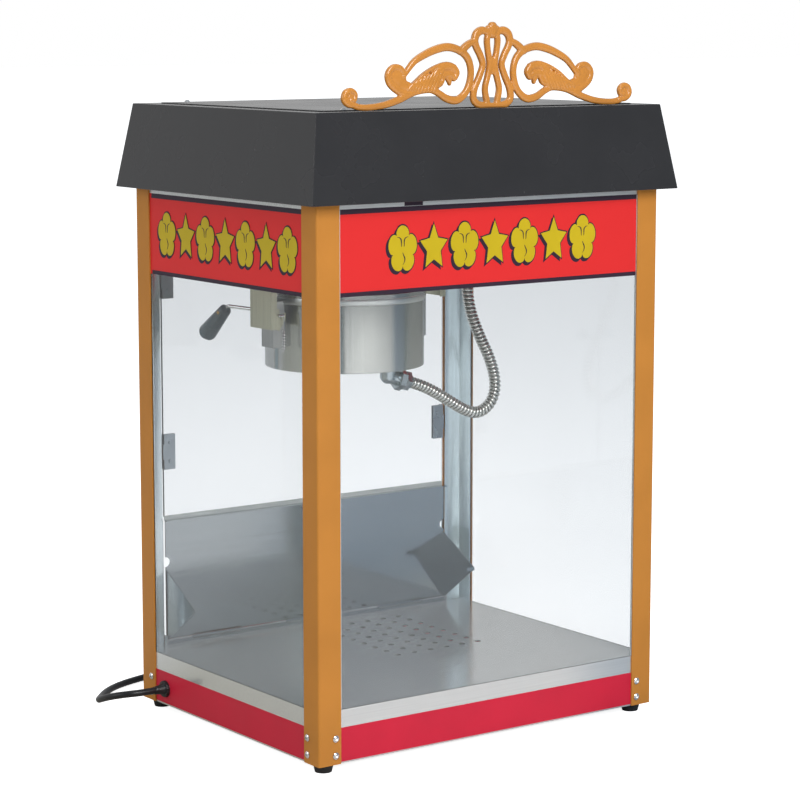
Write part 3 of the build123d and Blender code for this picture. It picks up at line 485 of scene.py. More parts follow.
# conduit finish: bright crests, with grooves painted dark as shade
CONDUIT_ZINC_GROOVE_SHADE = WoundMetalGrooveShade("conduit zinc with painted groove shade", (0.82, 0.83, 0.79), (0.27, 0.27, 0.255))
BRIGHT_SCREW = PlainMetal("bright screws", (0.80, 0.80, 0.80), rough=0.12)
HINGE_STEEL = PlainMetal("hinge steel", (0.42, 0.47, 0.51), rough=0.3, depth=0.03)
CAST_METAL = PlainMetal("cast housing", (0.40, 0.42, 0.43), rough=0.5, grain=500.0, depth=0.4)
HEATER_IRON = PlainMetal("heater iron", (0.10, 0.095, 0.09), rough=0.6, grain=700.0, depth=0.5)
BRASS = PlainMetal("brass screw", (0.75, 0.45, 0.12), rough=0.2)
GRIP_PLASTIC = Moulded("grip plastic", (0.075, 0.105, 0.115), rough=0.26, grain=200.0, depth=0.04, specular=0.7)
SWITCH_PLASTIC = Moulded("switch plastic", (0.012, 0.012, 0.013), rough=0.25, depth=0.03)
FOOT_RUBBER = Moulded("foot rubber", (0.010, 0.010, 0.011), rough=0.6)
CORD_RUBBER = Moulded("cord rubber", (0.007, 0.007, 0.009), rough=0.38, grain=1500.0)
CABINET_GLASS = ClearGlass("cabinet glass")
BULB_GLASS = ClearGlass("bulb glass", (0.96, 0.95, 0.90), rough=0.35)

NODE_FINISHES: dict[str, object] = {
    "feet": FOOT_RUBBER, "base_floor": EDGE_STEEL, "base_skirt": RED_PAINT, "base_skirt_rear": RED_PAINT,
    "drawer": DECK_STEEL, "drawer_runners": DECK_STEEL, "deck_pan": DECK_STEEL,
    "post_front_left": GOLD_PAINT, "post_front_right": GOLD_PAINT, "post_rear_left": GOLD_PAINT,
    "post_rear_right": GOLD_PAINT, "post_screws": BRIGHT_SCREW, "inner_posts": POST_STEEL,
    "glass_front": CABINET_GLASS, "glass_sides": CABINET_GLASS, "door_glass_left": CABINET_GLASS,
    "door_glass_right": CABINET_GLASS, "sign_front": SIGN_RED, "sign_sides": SIGN_RED,
    "rear_header": POST_STEEL, "top_frame": EDGE_STEEL, "ceiling_panel": DECK_STEEL,
    "canopy_front": BLACK_PAINT, "canopy_rear": BLACK_PAINT, "canopy_sides": BLACK_PAINT,
    "canopy_lid": BLACK_PAINT, "canopy_screws": BRIGHT_SCREW, "control_plate": EDGE_STEEL,
    "switch_warmer": SWITCH_PLASTIC, "switch_stirrer": SWITCH_PLASTIC, "switch_kettle": SWITCH_PLASTIC,
    "gear_motor": CAST_METAL, "ceiling_fittings": ZINC, "lamp_bulb": BULB_GLASS,
    "hanger_left": HANGER_STEEL, "hanger_right": HANGER_STEEL, "kettle_catch": BRIGHT_SCREW,
    "kettle_shell": KETTLE_STEEL_SHEEN_STREAKS, "kettle_pan": KETTLE_STEEL_SHEEN_STREAKS, "heater_plate": HEATER_IRON,
    "kettle_bridge": ARM_STEEL, "kettle_arms": ARM_STEEL, "dump_handle": BRIGHT_SCREW,
    "handle_grip": GRIP_PLASTIC, "conduit_elbow": ZINC, "kettle_lid_front": KETTLE_STEEL_SHEEN_STREAKS,
    "kettle_lid_rear": KETTLE_STEEL_SHEEN_STREAKS, "stirrer": ARM_STEEL, "drive_shaft": BRIGHT_SCREW,
    "door_hinges": HINGE_STEEL, "door_fittings_left": HINGE_STEEL, "door_fittings_right": HINGE_STEEL,
    "ramp": RAMP_STEEL, "ramp_hinge": BRIGHT_SCREW, "cord_gland": CORD_RUBBER, "plug": CORD_RUBBER,
}


class Paintshop:
    """Gives each finish its one material."""

    def __init__(self) -> None:
        """Starts with no materials."""
        self.made: dict[str, bpy.types.Material] = {}

    def coat(self, finish: object) -> bpy.types.Material:
        """The material of a finish, made the first time it is asked for."""
        if finish.name not in self.made:
            self.made[finish.name] = finish.make()
        return self.made[finish.name]

    def dress(self, piece: bpy.types.Object, finish: object) -> None:
        """Makes a finish the only material of a piece."""
        piece.data.materials.clear()
        piece.data.materials.append(self.coat(finish))


# ------------------------------------------------------------------ surfaces
def grid_faces(rows: int, columns: int, close_rows: bool = False, close_columns: bool = False) -> np.ndarray:
    """Quads between neighbours of a grid whose point (i, j) has number i * columns + j.

    Args:
        rows: points along the first parameter.
        columns: points along the second.
        close_rows: whether the last row joins the first.
        close_columns: whether the last column joins the first.

    Returns:
        Array of quads, n by 4.
    """
    i, j = np.meshgrid(np.arange(rows if close_rows else rows - 1),
                       np.arange(columns if close_columns else columns - 1), indexing="ij")
    down, right = (i + 1) % rows, (j + 1) % columns
    return np.stack([i * columns + j, down * columns + j, down * columns + right, i * columns + right],
                    axis=-1).reshape(-1, 4)


def solid_piece(name: str, points: np.ndarray, faces: np.ndarray, smooth: bool = True,
                sharp_deg: float = 40.0) -> bpy.types.Object:
    """A piece from points and faces, with doubles merged and faces turned outwards.

    Args:
        name: the piece's name.
        points: n by 3, in metres.
        faces: m by 4 or m by 3 point numbers.
        smooth: whether faces are shaded smooth.
        sharp_deg: edges that bend more than this stay sharp.

    Returns:
        The new object, linked to the scene.
    """
    mesh = bpy.data.meshes.new(name)
    mesh.from_pydata(points.reshape(-1, 3).tolist(), [], faces.tolist())
    work = bmesh.new()
    work.from_mesh(mesh)
    bmesh.ops.remove_doubles(work, verts=work.verts, dist=1e-6)
    bmesh.ops.dissolve_degenerate(work, dist=1e-7, edges=work.edges)
    bmesh.ops.recalc_face_normals(work, faces=work.faces)
    work.to_mesh(mesh)
    work.free()
    return placed_piece(name, mesh, smooth, sharp_deg)


def placed_piece(name: str, mesh: bpy.types.Mesh, smooth: bool, sharp_deg: float) -> bpy.types.Object:
    """Links a mesh to the scene as a piece with its shading set.

    Args:
        name: the piece's name.
        mesh: its mesh.
        smooth: whether faces are shaded smooth.
        sharp_deg: edges that bend more than this stay sharp.

    Returns:
        The new object.
    """
    mesh.polygons.foreach_set("use_smooth", np.full(len(mesh.polygons), smooth))
    if smooth:
        mesh.set_sharp_from_angle(angle=math.radians(sharp_deg))
    piece = bpy.data.objects.new(name, mesh)
    bpy.context.scene.collection.objects.link(piece)
    return piece


def joined(parts: list[Surface]) -> Surface:
    """Several surfaces as one, with each part's face numbers moved past the points before it.

    Args:
        parts: the surfaces.

    Returns:
        Points and faces of all of them.
    """
    counts = np.cumsum([0] + [len(p.reshape(-1, 3)) for p, _ in parts])
    points = np.concatenate([p.reshape(-1, 3) for p, _ in parts])
    faces = np.concatenate([f + start for (_, f), start in zip(parts, counts)])
    return points, faces


def circle_angles(count: int) -> np.ndarray:
    """Angles evenly round a circle, in radians, the first at 0 and none at the full turn."""
    return np.linspace(0, FULL_TURN, count, endpoint=False)


def directions(line: np.ndarray) -> np.ndarray:
    """Unit directions along a line, one at each of its points."""
    along = np.gradient(line, axis=0)
    return along / np.linalg.norm(along, axis=1, keepdims=True)


def open_curve(name: str, points: np.ndarray, resolution: int) -> bpy.types.Object:
    """An open smooth curve that starts and ends at its outer points.

    Args:
        name: the curve's name.
        points: n by 3, the points that guide it.
        resolution: steps between two of them.

    Returns:
        The new object, linked to the scene.
    """
    curve = bpy.data.curves.new(name, "CURVE")
    curve.dimensions = "3D"
    spline = curve.splines.new("NURBS")
    spline.points.add(len(points) - 1)
    spline.points.foreach_set("co", np.column_stack([points, np.ones(len(points))]).ravel())
    spline.order_u = 3
    spline.use_endpoint_u = True
    spline.resolution_u = resolution
    holder = bpy.data.objects.new(name, curve)
    bpy.context.scene.collection.objects.link(holder)
    return holder


def smooth_line(points: np.ndarray, per_span: int) -> np.ndarray:
    """A Catmull-Rom line through points: each span is the cubic whose end slopes are half the chord
    between its neighbours.

    Args:
        points: n by d, the points it passes through.
        per_span: samples in each span.

    Returns:
        Samples, (n - 1) * per_span + 1 by d.
    """
    p = np.concatenate([2 * points[:1] - points[1:2], points, 2 * points[-1:] - points[-2:-1]])
    t = (np.arange(per_span) / per_span)[None, :, None]
    a, b, c, d = (p[k:len(p) - 3 + k, None, :] for k in range(4))
    line = 0.5 * (2 * b + (c - a) * t + (2 * a - 5 * b + 4 * c - d) * t**2 + (3 * b - 3 * c + d - a) * t**3)
    return np.concatenate([line.reshape(-1, points.shape[1]), points[-1:]])


def tube(centre: np.ndarray, radius: np.ndarray, side: Point, around: int) -> Surface:
    """A ring carried along a line: each point is the line's point plus radius times the cosine and sine
    of the angle along two directions square to the line, the first square to the given side. A disc
    closes each end.

    Args:
        centre: n by 3, the line.
        radius: n by around or n by 1.
        side: a direction the line never points along.
        around: points in a ring.

    Returns:
        Points and faces.
    """
    along = directions(centre)
    first = np.cross(np.asarray(side, float), along)
    first /= np.linalg.norm(first, axis=1, keepdims=True)
    second = np.cross(along, first)
    angle = circle_angles(around)[None, :, None]
    ring = np.cos(angle) * first[:, None, :] + np.sin(angle) * second[:, None, :]
    points = centre[:, None, :] + ring * np.broadcast_to(radius, (len(centre), around))[:, :, None]
    ends = [np.repeat(centre[k][None, None, :], around, axis=1) for k in (0, -1)]
    points = np.concatenate([ends[0], points, ends[1]])
    return points, grid_faces(len(points), around, close_columns=True)


def lathe(profile: np.ndarray, base: Point, axis: Point, around: int) -> Surface:
    """A profile turned about an axis: each (radius, height) becomes a ring at base plus height along the
    axis.

    Args:
        profile: n by 2, radius and height; a radius of 0 closes the end.
        base: the axis's foot.
        axis: its direction.
        around: points in a ring.

    Returns:
        Points and faces.
    """
    up = np.asarray(axis, float) / np.linalg.norm(axis)
    spare = np.array([0.0, 0.0, 1.0]) if abs(up[2]) < 0.9 else np.array([1.0, 0.0, 0.0])
    first = np.cross(spare, up)
    first /= np.linalg.norm(first)
    second = np.cross(up, first)
    angle = circle_angles(around)[:, None]
    ring = np.cos(angle) * first + np.sin(angle) * second
    points = (np.asarray(base, float) + profile[:, 1, None, None] * up
              + profile[:, 0, None, None] * ring[None, :, :])
    return points, grid_faces(len(profile), around, close_columns=True)


def block(low: Point, high: Point) -> Surface:
    """A box between two corners: its outline across X, carried along X, with each end closed as a fan
    about its middle.

    Args:
        low: its corner with the least coordinates.
        high: its corner with the greatest.

    Returns:
        Points and faces.
    """
    outline = np.array([(low[1], low[2]), (high[1], low[2]), (high[1], high[2]), (low[1], high[2])])
    share = np.array([0.0, 1.0, 1.0, 0.0])[:, None, None]
    points = np.zeros((4, 4, 3))
    points[..., 1:] = outline.mean(axis=0) + share * (outline - outline.mean(axis=0))
    points[..., 0] = np.array([low[0], low[0], high[0], high[0]])[:, None]
    return points, grid_faces(4, 4, close_columns=True)


def merged_copy(node: bpy.types.Object, name: str, edge: float) -> bpy.types.Object:
    """A copy of a frame node with its loose triangles merged, flat areas joined and its edges rounded.

    Args:
        node: the frame's node.
        name: the copy's name.
        edge: width of the rounded edges; 0 leaves them.

    Returns:
        The new object.
    """
    sharp_deg, flat_deg = 30.0, 0.6
    work = bmesh.new()
    work.from_mesh(node.data)
    bmesh.ops.remove_doubles(work, verts=work.verts, dist=2e-6)
    bmesh.ops.dissolve_limit(work, angle_limit=math.radians(flat_deg), verts=work.verts, edges=work.edges)
    mesh = bpy.data.meshes.new(name)
    work.to_mesh(mesh)
    work.free()
    piece = placed_piece(name, mesh, True, sharp_deg)
    if edge > 0:
        bevel = piece.modifiers.new("rounded edges", "BEVEL")
        bevel.width = edge
        bevel.segments = 2
        bevel.limit_method = "ANGLE"
        bevel.angle_limit = math.radians(sharp_deg)
        bevel.harden_normals = True
        bevel.use_clamp_overlap = True
    return piece


# ------------------------------------------------------------------ cord
@dataclass
class MainsCord:
    """The mains cord: out of the gland, down to the floor, round behind the machine into a neat coil.

    route holds the free run's points from the gland to the coil; the coil's turns go on from there. knots
    are the turns at which the coil starts or ends a change of ring or level, rings says which ring holds
    there (0 the outer, 1 the inner, 2 the last lap's), levels how many diameters it lies above the floor.
    """

    route: tuple[Point, ...] = (
        (-0.297, 0.1625, 0.035), (-0.318, 0.1625, 0.035), (-0.3374, 0.1728, 0.0335), (-0.3497, 0.191, 0.0285),
        (-0.3522, 0.2149, 0.0205), (-0.3425, 0.239, 0.0125), (-0.3235, 0.2672, 0.007),
        (-0.3004, 0.2948, 0.0052), (-0.2713, 0.316, 0.0052), (-0.2342, 0.331, 0.0052), (-0.1905, 0.342, 0.0052),
    )
    diameter: float = 0.0095
    length: float = 1.83
    coil_centre: Span = (-0.120, 0.300)
    coil_inner: float = 0.0478
    coil_outer: float = 0.0571
    coil_last: float = 0.0535
    floor_height: float = 0.0052
    turns: float = 4.5
    per_turn: int = 14
    knots: tuple[float, ...] = (0.0, 0.8, 1.15, 1.85, 2.15, 2.85, 3.15, 3.85, 4.1, 4.5)
    rings: tuple[int, ...] = (0, 0, 1, 1, 1, 1, 0, 0, 0, 2)
    levels: tuple[int, ...] = (0, 0, 0, 0, 1, 1, 1, 1, 1, 1)
    lead_in: Span = (-0.018, -0.002)
    plug_face: Point = (-0.196, 0.2475, 0.0123)
    tail: tuple[Point, ...] = ((0.052, 0.0, 0.0035), (0.026, 0.0, 0.0), (0.0, 0.0, 0.0), (-0.006, 0.0, 0.0))

    def coil_points(self) -> np.ndarray:
        """The coil's turns: clockwise from the rear, the outer turn on the floor first, then the inner one,
        then the same two a diameter higher, easing from one to the next over a quarter turn.

        Returns:
            Points, n by 3.
        """
        count = int(self.turns * self.per_turn)
        turn = np.arange(1, count + 1) / self.per_turn
        radii = np.array([self.coil_outer, self.coil_inner, self.coil_last])
        radius = np.interp(turn, self.knots, radii[list(self.rings)])
        height = np.interp(turn, self.knots, self.floor_height + self.diameter * np.array(self.levels))
        angle = math.pi / 2 - FULL_TURN * turn
        return np.stack([self.coil_centre[0] + radius * np.cos(angle),
                         self.coil_centre[1] + radius * np.sin(angle), height], axis=1)

    def build(self, shop: Paintshop, plug: bpy.types.Object) -> bpy.types.Object:
        """Args:
            shop: the materials.
            plug: the frame's plug, which is on the cord; not used.

        Returns:
            The cord.
        """
        start = np.array([[self.coil_centre[0] + self.lead_in[0],
                           self.coil_centre[1] + self.coil_outer + self.lead_in[1], self.floor_height]])
        tail = np.array(self.plug_face) + np.array(self.tail)
        points = np.concatenate([np.array(self.route), start, self.coil_points(), tail])
        cord = open_curve("mains_cord", points, resolution=8)
        cord.data.bevel_depth = self.diameter / 2
        cord.data.bevel_resolution = 5
        cord.data.use_fill_caps = True
        cord.data.materials.append(shop.coat(CORD_RUBBER))
        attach(cord, "root")
        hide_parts("power_cord", "power_cord_coil")
        log.info("mains cord: %d points", len(points))
        return cord


@dataclass
class CordGland:
    """Ribbed nut on the skirt with a tapered relief that grips the cord."""

    centre: Point = (-0.278, 0.1625, 0.035)
    nut_radius: float = 0.0115
    ribs: int = 14
    rib_depth: float = 0.0008
    around: int = 84

    def build(self, shop: Paintshop) -> bpy.types.Object:
        """Turns the gland's profile about the cord's line; the nut's rim is scalloped by a cosine.

        Args:
            shop: the materials.

        Returns:
            The gland.
        """
        r = self.nut_radius
        thread = [(0.0, -0.009), (0.0068, -0.009), (0.0068, -0.0002), (r, -0.0002)]
        nut_rim = [(r + 0.0003, 0.0012), (r + 0.0003, 0.0036)]
        relief = [(r - 0.0006, 0.0046), (0.0086, 0.0049), (0.0083, 0.0058), (0.0072, 0.0088), (0.0066, 0.0104),
                  (0.0062, 0.0128), (0.0058, 0.0150), (0.0056, 0.0178), (0.0053, 0.0188), (0.0, 0.0188)]
        points, faces = lathe(np.array(thread + nut_rim + relief), self.centre, (-1, 0, 0), self.around)
        scallop = 1 - self.rib_depth / r * (0.5 + 0.5 * np.cos(self.ribs * circle_angles(self.around)))
        middle = np.array(self.centre)
        rim = slice(len(thread), len(thread + nut_rim))
        offset = points[rim] - middle
        offset[..., 1:] *= scallop[None, :, None]
        points[rim] = middle + offset
        gland = solid_piece("cord_gland_nut", points, faces)
        shop.dress(gland, CORD_RUBBER)
        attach(gland, "root")
        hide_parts("cord_gland")
        log.info("cord gland: %d faces", len(gland.data.polygons))
        return gland


# ------------------------------------------------------------------ conduit
@dataclass
class FlexConduit:
    """Spiral-wound metal hose from the kettle's elbow up to the ceiling.

    route guides it from the elbow up.
    """

    route: tuple[Point, ...] = (
        (0.033, 0.020, 0.4595), (0.058, 0.020, 0.452), (0.092, 0.020, 0.4345), (0.134, 0.020, 0.409),
        (0.160, 0.020, 0.4025), (0.183, 0.020, 0.416), (0.191, 0.020, 0.442), (0.181, 0.020, 0.478),
        (0.158, 0.020, 0.518), (0.140, 0.020, 0.560), (0.133, 0.020, 0.636), (0.133, 0.020, 0.712),
    )
    diameter: float = 0.0170
    pitch: float = 0.0058
    groove: float = 0.0027
    groove_power: float = 2.2
    around: int = 24
    per_pitch: int = 9
    lean: float = -5.0

    def centreline(self) -> np.ndarray:
        """The route's own smooth line, spaced evenly.

        Returns:
            Points, n by 3.
        """
        holder = open_curve("conduit_route", np.array(self.route), resolution=40)
        curve = holder.data
        mesh = bpy.data.meshes.new_from_object(holder)
        line = np.zeros(len(mesh.vertices) * 3)
        mesh.vertices.foreach_get("co", line)
        line = line.reshape(-1, 3)
        bpy.data.objects.remove(holder)
        bpy.data.meshes.remove(mesh)
        bpy.data.curves.remove(curve)
        gone = np.concatenate([[0], np.cumsum(np.linalg.norm(np.diff(line, axis=0), axis=1))])
        steps = np.linspace(0, gone[-1], int(gone[-1] / self.pitch * self.per_pitch))
        return np.stack([np.interp(steps, gone, line[:, k]) for k in range(3)], axis=1)

    def build(self, shop: Paintshop) -> bpy.types.Object:
        """Winds the hose: the radius falls into a groove where the distance along it plus the turn's share is a
        whole number of pitches, so the groove runs round as a screw thread.

        Args:
            shop: the materials.

        Returns:
            The hose.
        """
        line = self.centreline()
        length = float(np.linalg.norm(np.diff(line, axis=0), axis=1).sum())
        along = np.linspace(0, length, len(line))[:, None]
        angle = np.linspace(0, 1, self.around, endpoint=False)[None, :]
        phase = (along / self.pitch + angle) % 1.0
        crest = 1 - np.abs(2 * phase - 1) ** self.groove_power
        radius = self.diameter / 2 - self.groove * (1 - crest)
        points, faces = tube(line, radius, (0, 1, 0), self.around)
        hose = solid_piece("flexible_conduit", points, faces, sharp_deg=80)
        # this crest share also drives the hose's painted shade in its grooves
        share = hose.data.attributes.new(CONDUIT_ZINC_GROOVE_SHADE.mark, "FLOAT", "POINT")
        share.data.foreach_set("value", np.concatenate([[1.0], crest.ravel(), [1.0]]))
        shop.dress(hose, CONDUIT_ZINC_GROOVE_SHADE)
        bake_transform(hose)
        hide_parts("flex_conduit")
        log.info("conduit: %.3f m, %d faces", length, len(hose.data.polygons))
        return hose


# ------------------------------------------------------------------ crest
@dataclass(frozen=True)
class Limb:
    """One limb of the cast crest: a smooth line in the crest's plane with its half widths in millimetres.

    deep is its half thickness, out how far its middle stands forward.
    """

    line: tuple[tuple[float, float], ...]
    half: tuple[float, ...]
    deep: float = 3.8
    out: float = 0.0


def arch_limbs() -> list[Limb]:
    """The arch that winds into a ring, its foot, the link to the middle and the curls at their ends."""
    return [
        Limb(((143, 42), (126, 60), (110, 69), (91, 76), (72, 79), (54, 75), (41, 66), (35, 52), (36, 36),
              (43, 21), (57, 11.5), (73, 13.5), (87, 21), (101, 26), (116, 27)),
             (3.6, 4.4, 5, 5.4, 5.4, 5.2, 5, 4.8, 4.8, 5, 5.4, 5.2, 4.6, 4.2, 3)),
        Limb(((88, 22), (104, 25), (126, 22.5), (149, 13.5), (173, 7), (198, 4.6), (216, 6.5), (229, 13)),
             (3, 4.2, 5, 4.9, 4.6, 4.3, 4.2, 3.6)),
        Limb(((214, 7.5), (226, 8.5), (233, 15), (231, 23.5), (223, 26.2), (216.5, 21.5), (218, 14.5),
              (223.5, 14.5)), (3.2, 3.8, 4, 3.9, 3.8, 3.4, 3.2, 3), 4.0, 0.3),
        Limb(((222, 17), (224.5, 18)), (5.5, 5.5), 3.4),
        Limb(((29, 86), (36, 84), (44, 79), (52, 73)), (3.6, 4.6, 5.2, 4.6), 4.1, 0.2),
        Limb(((122, 23), (138, 20.5), (152, 26), (163, 35), (165.5, 46), (158, 54), (147, 53), (141, 46)),
             (4.6, 5.2, 5.2, 5, 4.4, 4.2, 4.2, 3.4)),
        Limb(((148, 38), (154, 43)), (11.2, 11.2), 3.3),
        Limb(((134, 29), (146, 32)), (7, 8), 3.4),
    ]


def leaf_limbs() -> list[Limb]:
    """The ribbed leaf inside the arch: ribs that lean from the foot up to the leaf's edge, and its curled
    head. Each rib's points move on from the first rib's by equal steps along straight lines."""
    rib_count = 9
    first_rib, travel = np.array([(95, 24), (88, 38), (79, 55.5)]), np.array([(40, 1.5), (42, -7), (48, -22)])
    ribs = [Limb(tuple(map(tuple, first_rib + t * travel)), (2.2, 3.3 - 0.6 * t, 1.8), 4.5, 0.1)
            for t in np.linspace(0, 1, rib_count)]
    edge = Limb(((61, 55), (74, 58), (91, 54.5), (110, 45.5), (126, 34), (137, 28)), (2.2, 2.6, 2.4, 2.2, 2, 2),
                3.9)
    head = [
        Limb(((92, 47), (80, 53.5), (67, 54), (58.5, 47), (60.5, 39.5)), (4, 5.4, 5.6, 5, 3.4), 4.3, 0.2),
        Limb(((90, 40), (78, 44), (67, 43.5), (62, 38)), (4, 5, 4.4, 3), 4.0),
        Limb(((72, 41), (69.5, 35.5), (69, 31.5)), (4.6, 3.6, 1.8), 3.6),
        Limb(((92, 30), (84, 33), (80, 39)), (4.6, 4.4, 3.6), 4.0),
    ]
    return ribs + [edge] + head


def middle_limbs() -> list[Limb]:
    """The open lyre in the middle: outer and inner rails, the bud on top and the base between them."""
    return [
        Limb(((5, 95), (11, 99), (19, 99.5), (26, 95), (28.5, 87), (26, 79), (19.5, 68), (15.5, 56), (21, 41),
              (29, 25), (30, 12), (22, 5), (8, 3.6)),
             (3.6, 4.8, 5.6, 5.8, 5.4, 5, 4.8, 4.6, 4.8, 5, 5, 5, 4.2)),
        Limb(((4, 101), (8.5, 89), (7, 73), (4, 57), (7.5, 41), (11.5, 25), (8, 7)),
             (3.6, 4.4, 4.2, 4.8, 4.4, 4.4, 4.6), 3.8),
        Limb(((0, 95), (0.5, 101), (-1.2, 106)), (5.6, 6.4, 5.0), 4.7, 0.2),
        Limb(((3.5, 99), (7, 103.5)), (3.8, 3.2), 4.2),
        Limb(((0, 47), (0, 62)), (4.2, 4.2), 3.4),
        Limb(((0, 3.8), (16, 3.8)), (3.6, 3.6), 4.2),
    ]


@dataclass
class Crest:
    """Cast scroll crest on the canopy's front edge, its halves mirrored about the middle.

    grid is the casting's fineness in metres; most_high and least_high bound it in millimetres.
    """

    middle_y: float = -0.2145
    foot_z: float = 0.846
    grid: float = 0.00087
    around: int = 14
    squareness: float = 2.5
    per_span: int = 8
    nose_rings: int = 5
    most_high: float = 111.8
    least_high: float = 0.25

    def limb_mesh(self, limb: Limb, sign: int) -> Surface:
        """Carries a squared oval along a limb's line; the half width and depth fall to nothing over the
        last width of each end as a quarter circle does, so the ends are round.

        Args:
            limb: the limb.
            sign: 1 for the right half, -1 for the left.

        Returns:
            Points and faces.
        """
        line = smooth_line(np.array(limb.line, float), self.per_span)
        half = smooth_line(np.array(limb.half, float)[:, None], self.per_span)[:, 0]
        along, ends = directions(line), self.nose_rings
        nose = np.linspace(0, np.pi / 2, ends + 1)[:-1]
        front = line[0] - along[0] * np.cos(nose)[:, None] * half[0]
        back = line[-1] + along[-1] * np.sin(np.pi / 2 - nose[::-1])[:, None] * half[-1]
        centre = np.concatenate([front, line, back])
        taper = np.concatenate([np.sin(nose), np.ones(len(line)), np.sin(nose[::-1])])
        wide = np.concatenate([np.full(ends, half[0]), half, np.full(ends, half[-1])]) * taper
        forward = np.concatenate([np.repeat(along[:1], ends, 0), along, np.repeat(along[-1:], ends, 0)])
        across = np.stack([-forward[:, 1], forward[:, 0]], axis=1)
        angle = circle_angles(self.around)
        power = 2 / self.squareness
        c = np.sign(np.cos(angle)) * np.abs(np.cos(angle)) ** power
        s = np.sign(np.sin(angle)) * np.abs(np.sin(angle)) ** power
        flat = centre[:, None, :] + wide[:, None, None] * c[None, :, None] * across[:, None, :]
        depth = -limb.out + (limb.deep * taper)[:, None] * s[None, :]
        height = np.clip(flat[..., 1], self.least_high, self.most_high)
        points = np.stack([sign * flat[..., 0] * MM, self.middle_y + depth * MM, self.foot_z + height * MM],
                          axis=-1)
        return points, grid_faces(len(centre), self.around, close_columns=True)

    def build(self, shop: Paintshop) -> bpy.types.Object:
        """Fuses all limbs into one casting on a fine grid and eases its joints.

        Args:
            shop: the materials.

        Returns:
            The crest.
        """
        limbs = arch_limbs() + leaf_limbs() + middle_limbs()
        parts = [self.limb_mesh(limb, sign) for sign in (1, -1) for limb in limbs]
        rough = solid_piece("crest_limbs", *joined(parts))
        fuse = rough.modifiers.new("fuse", "REMESH")
        fuse.mode = "VOXEL"
        fuse.voxel_size = self.grid
        ease = rough.modifiers.new("ease", "SMOOTH")
        ease.factor = 0.5
        ease.iterations = 3
        bpy.context.view_layer.update()
        cast = bpy.data.meshes.new_from_object(rough.evaluated_get(bpy.context.evaluated_depsgraph_get()))
        bpy.data.objects.remove(rough)
        crest = placed_piece("scroll_crest", cast, True, 180)
        shop.dress(crest, CREST_GOLD)
        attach(crest, "root")
        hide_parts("crest")
        log.info("crest: %d faces", len(cast.polygons))
        return crest


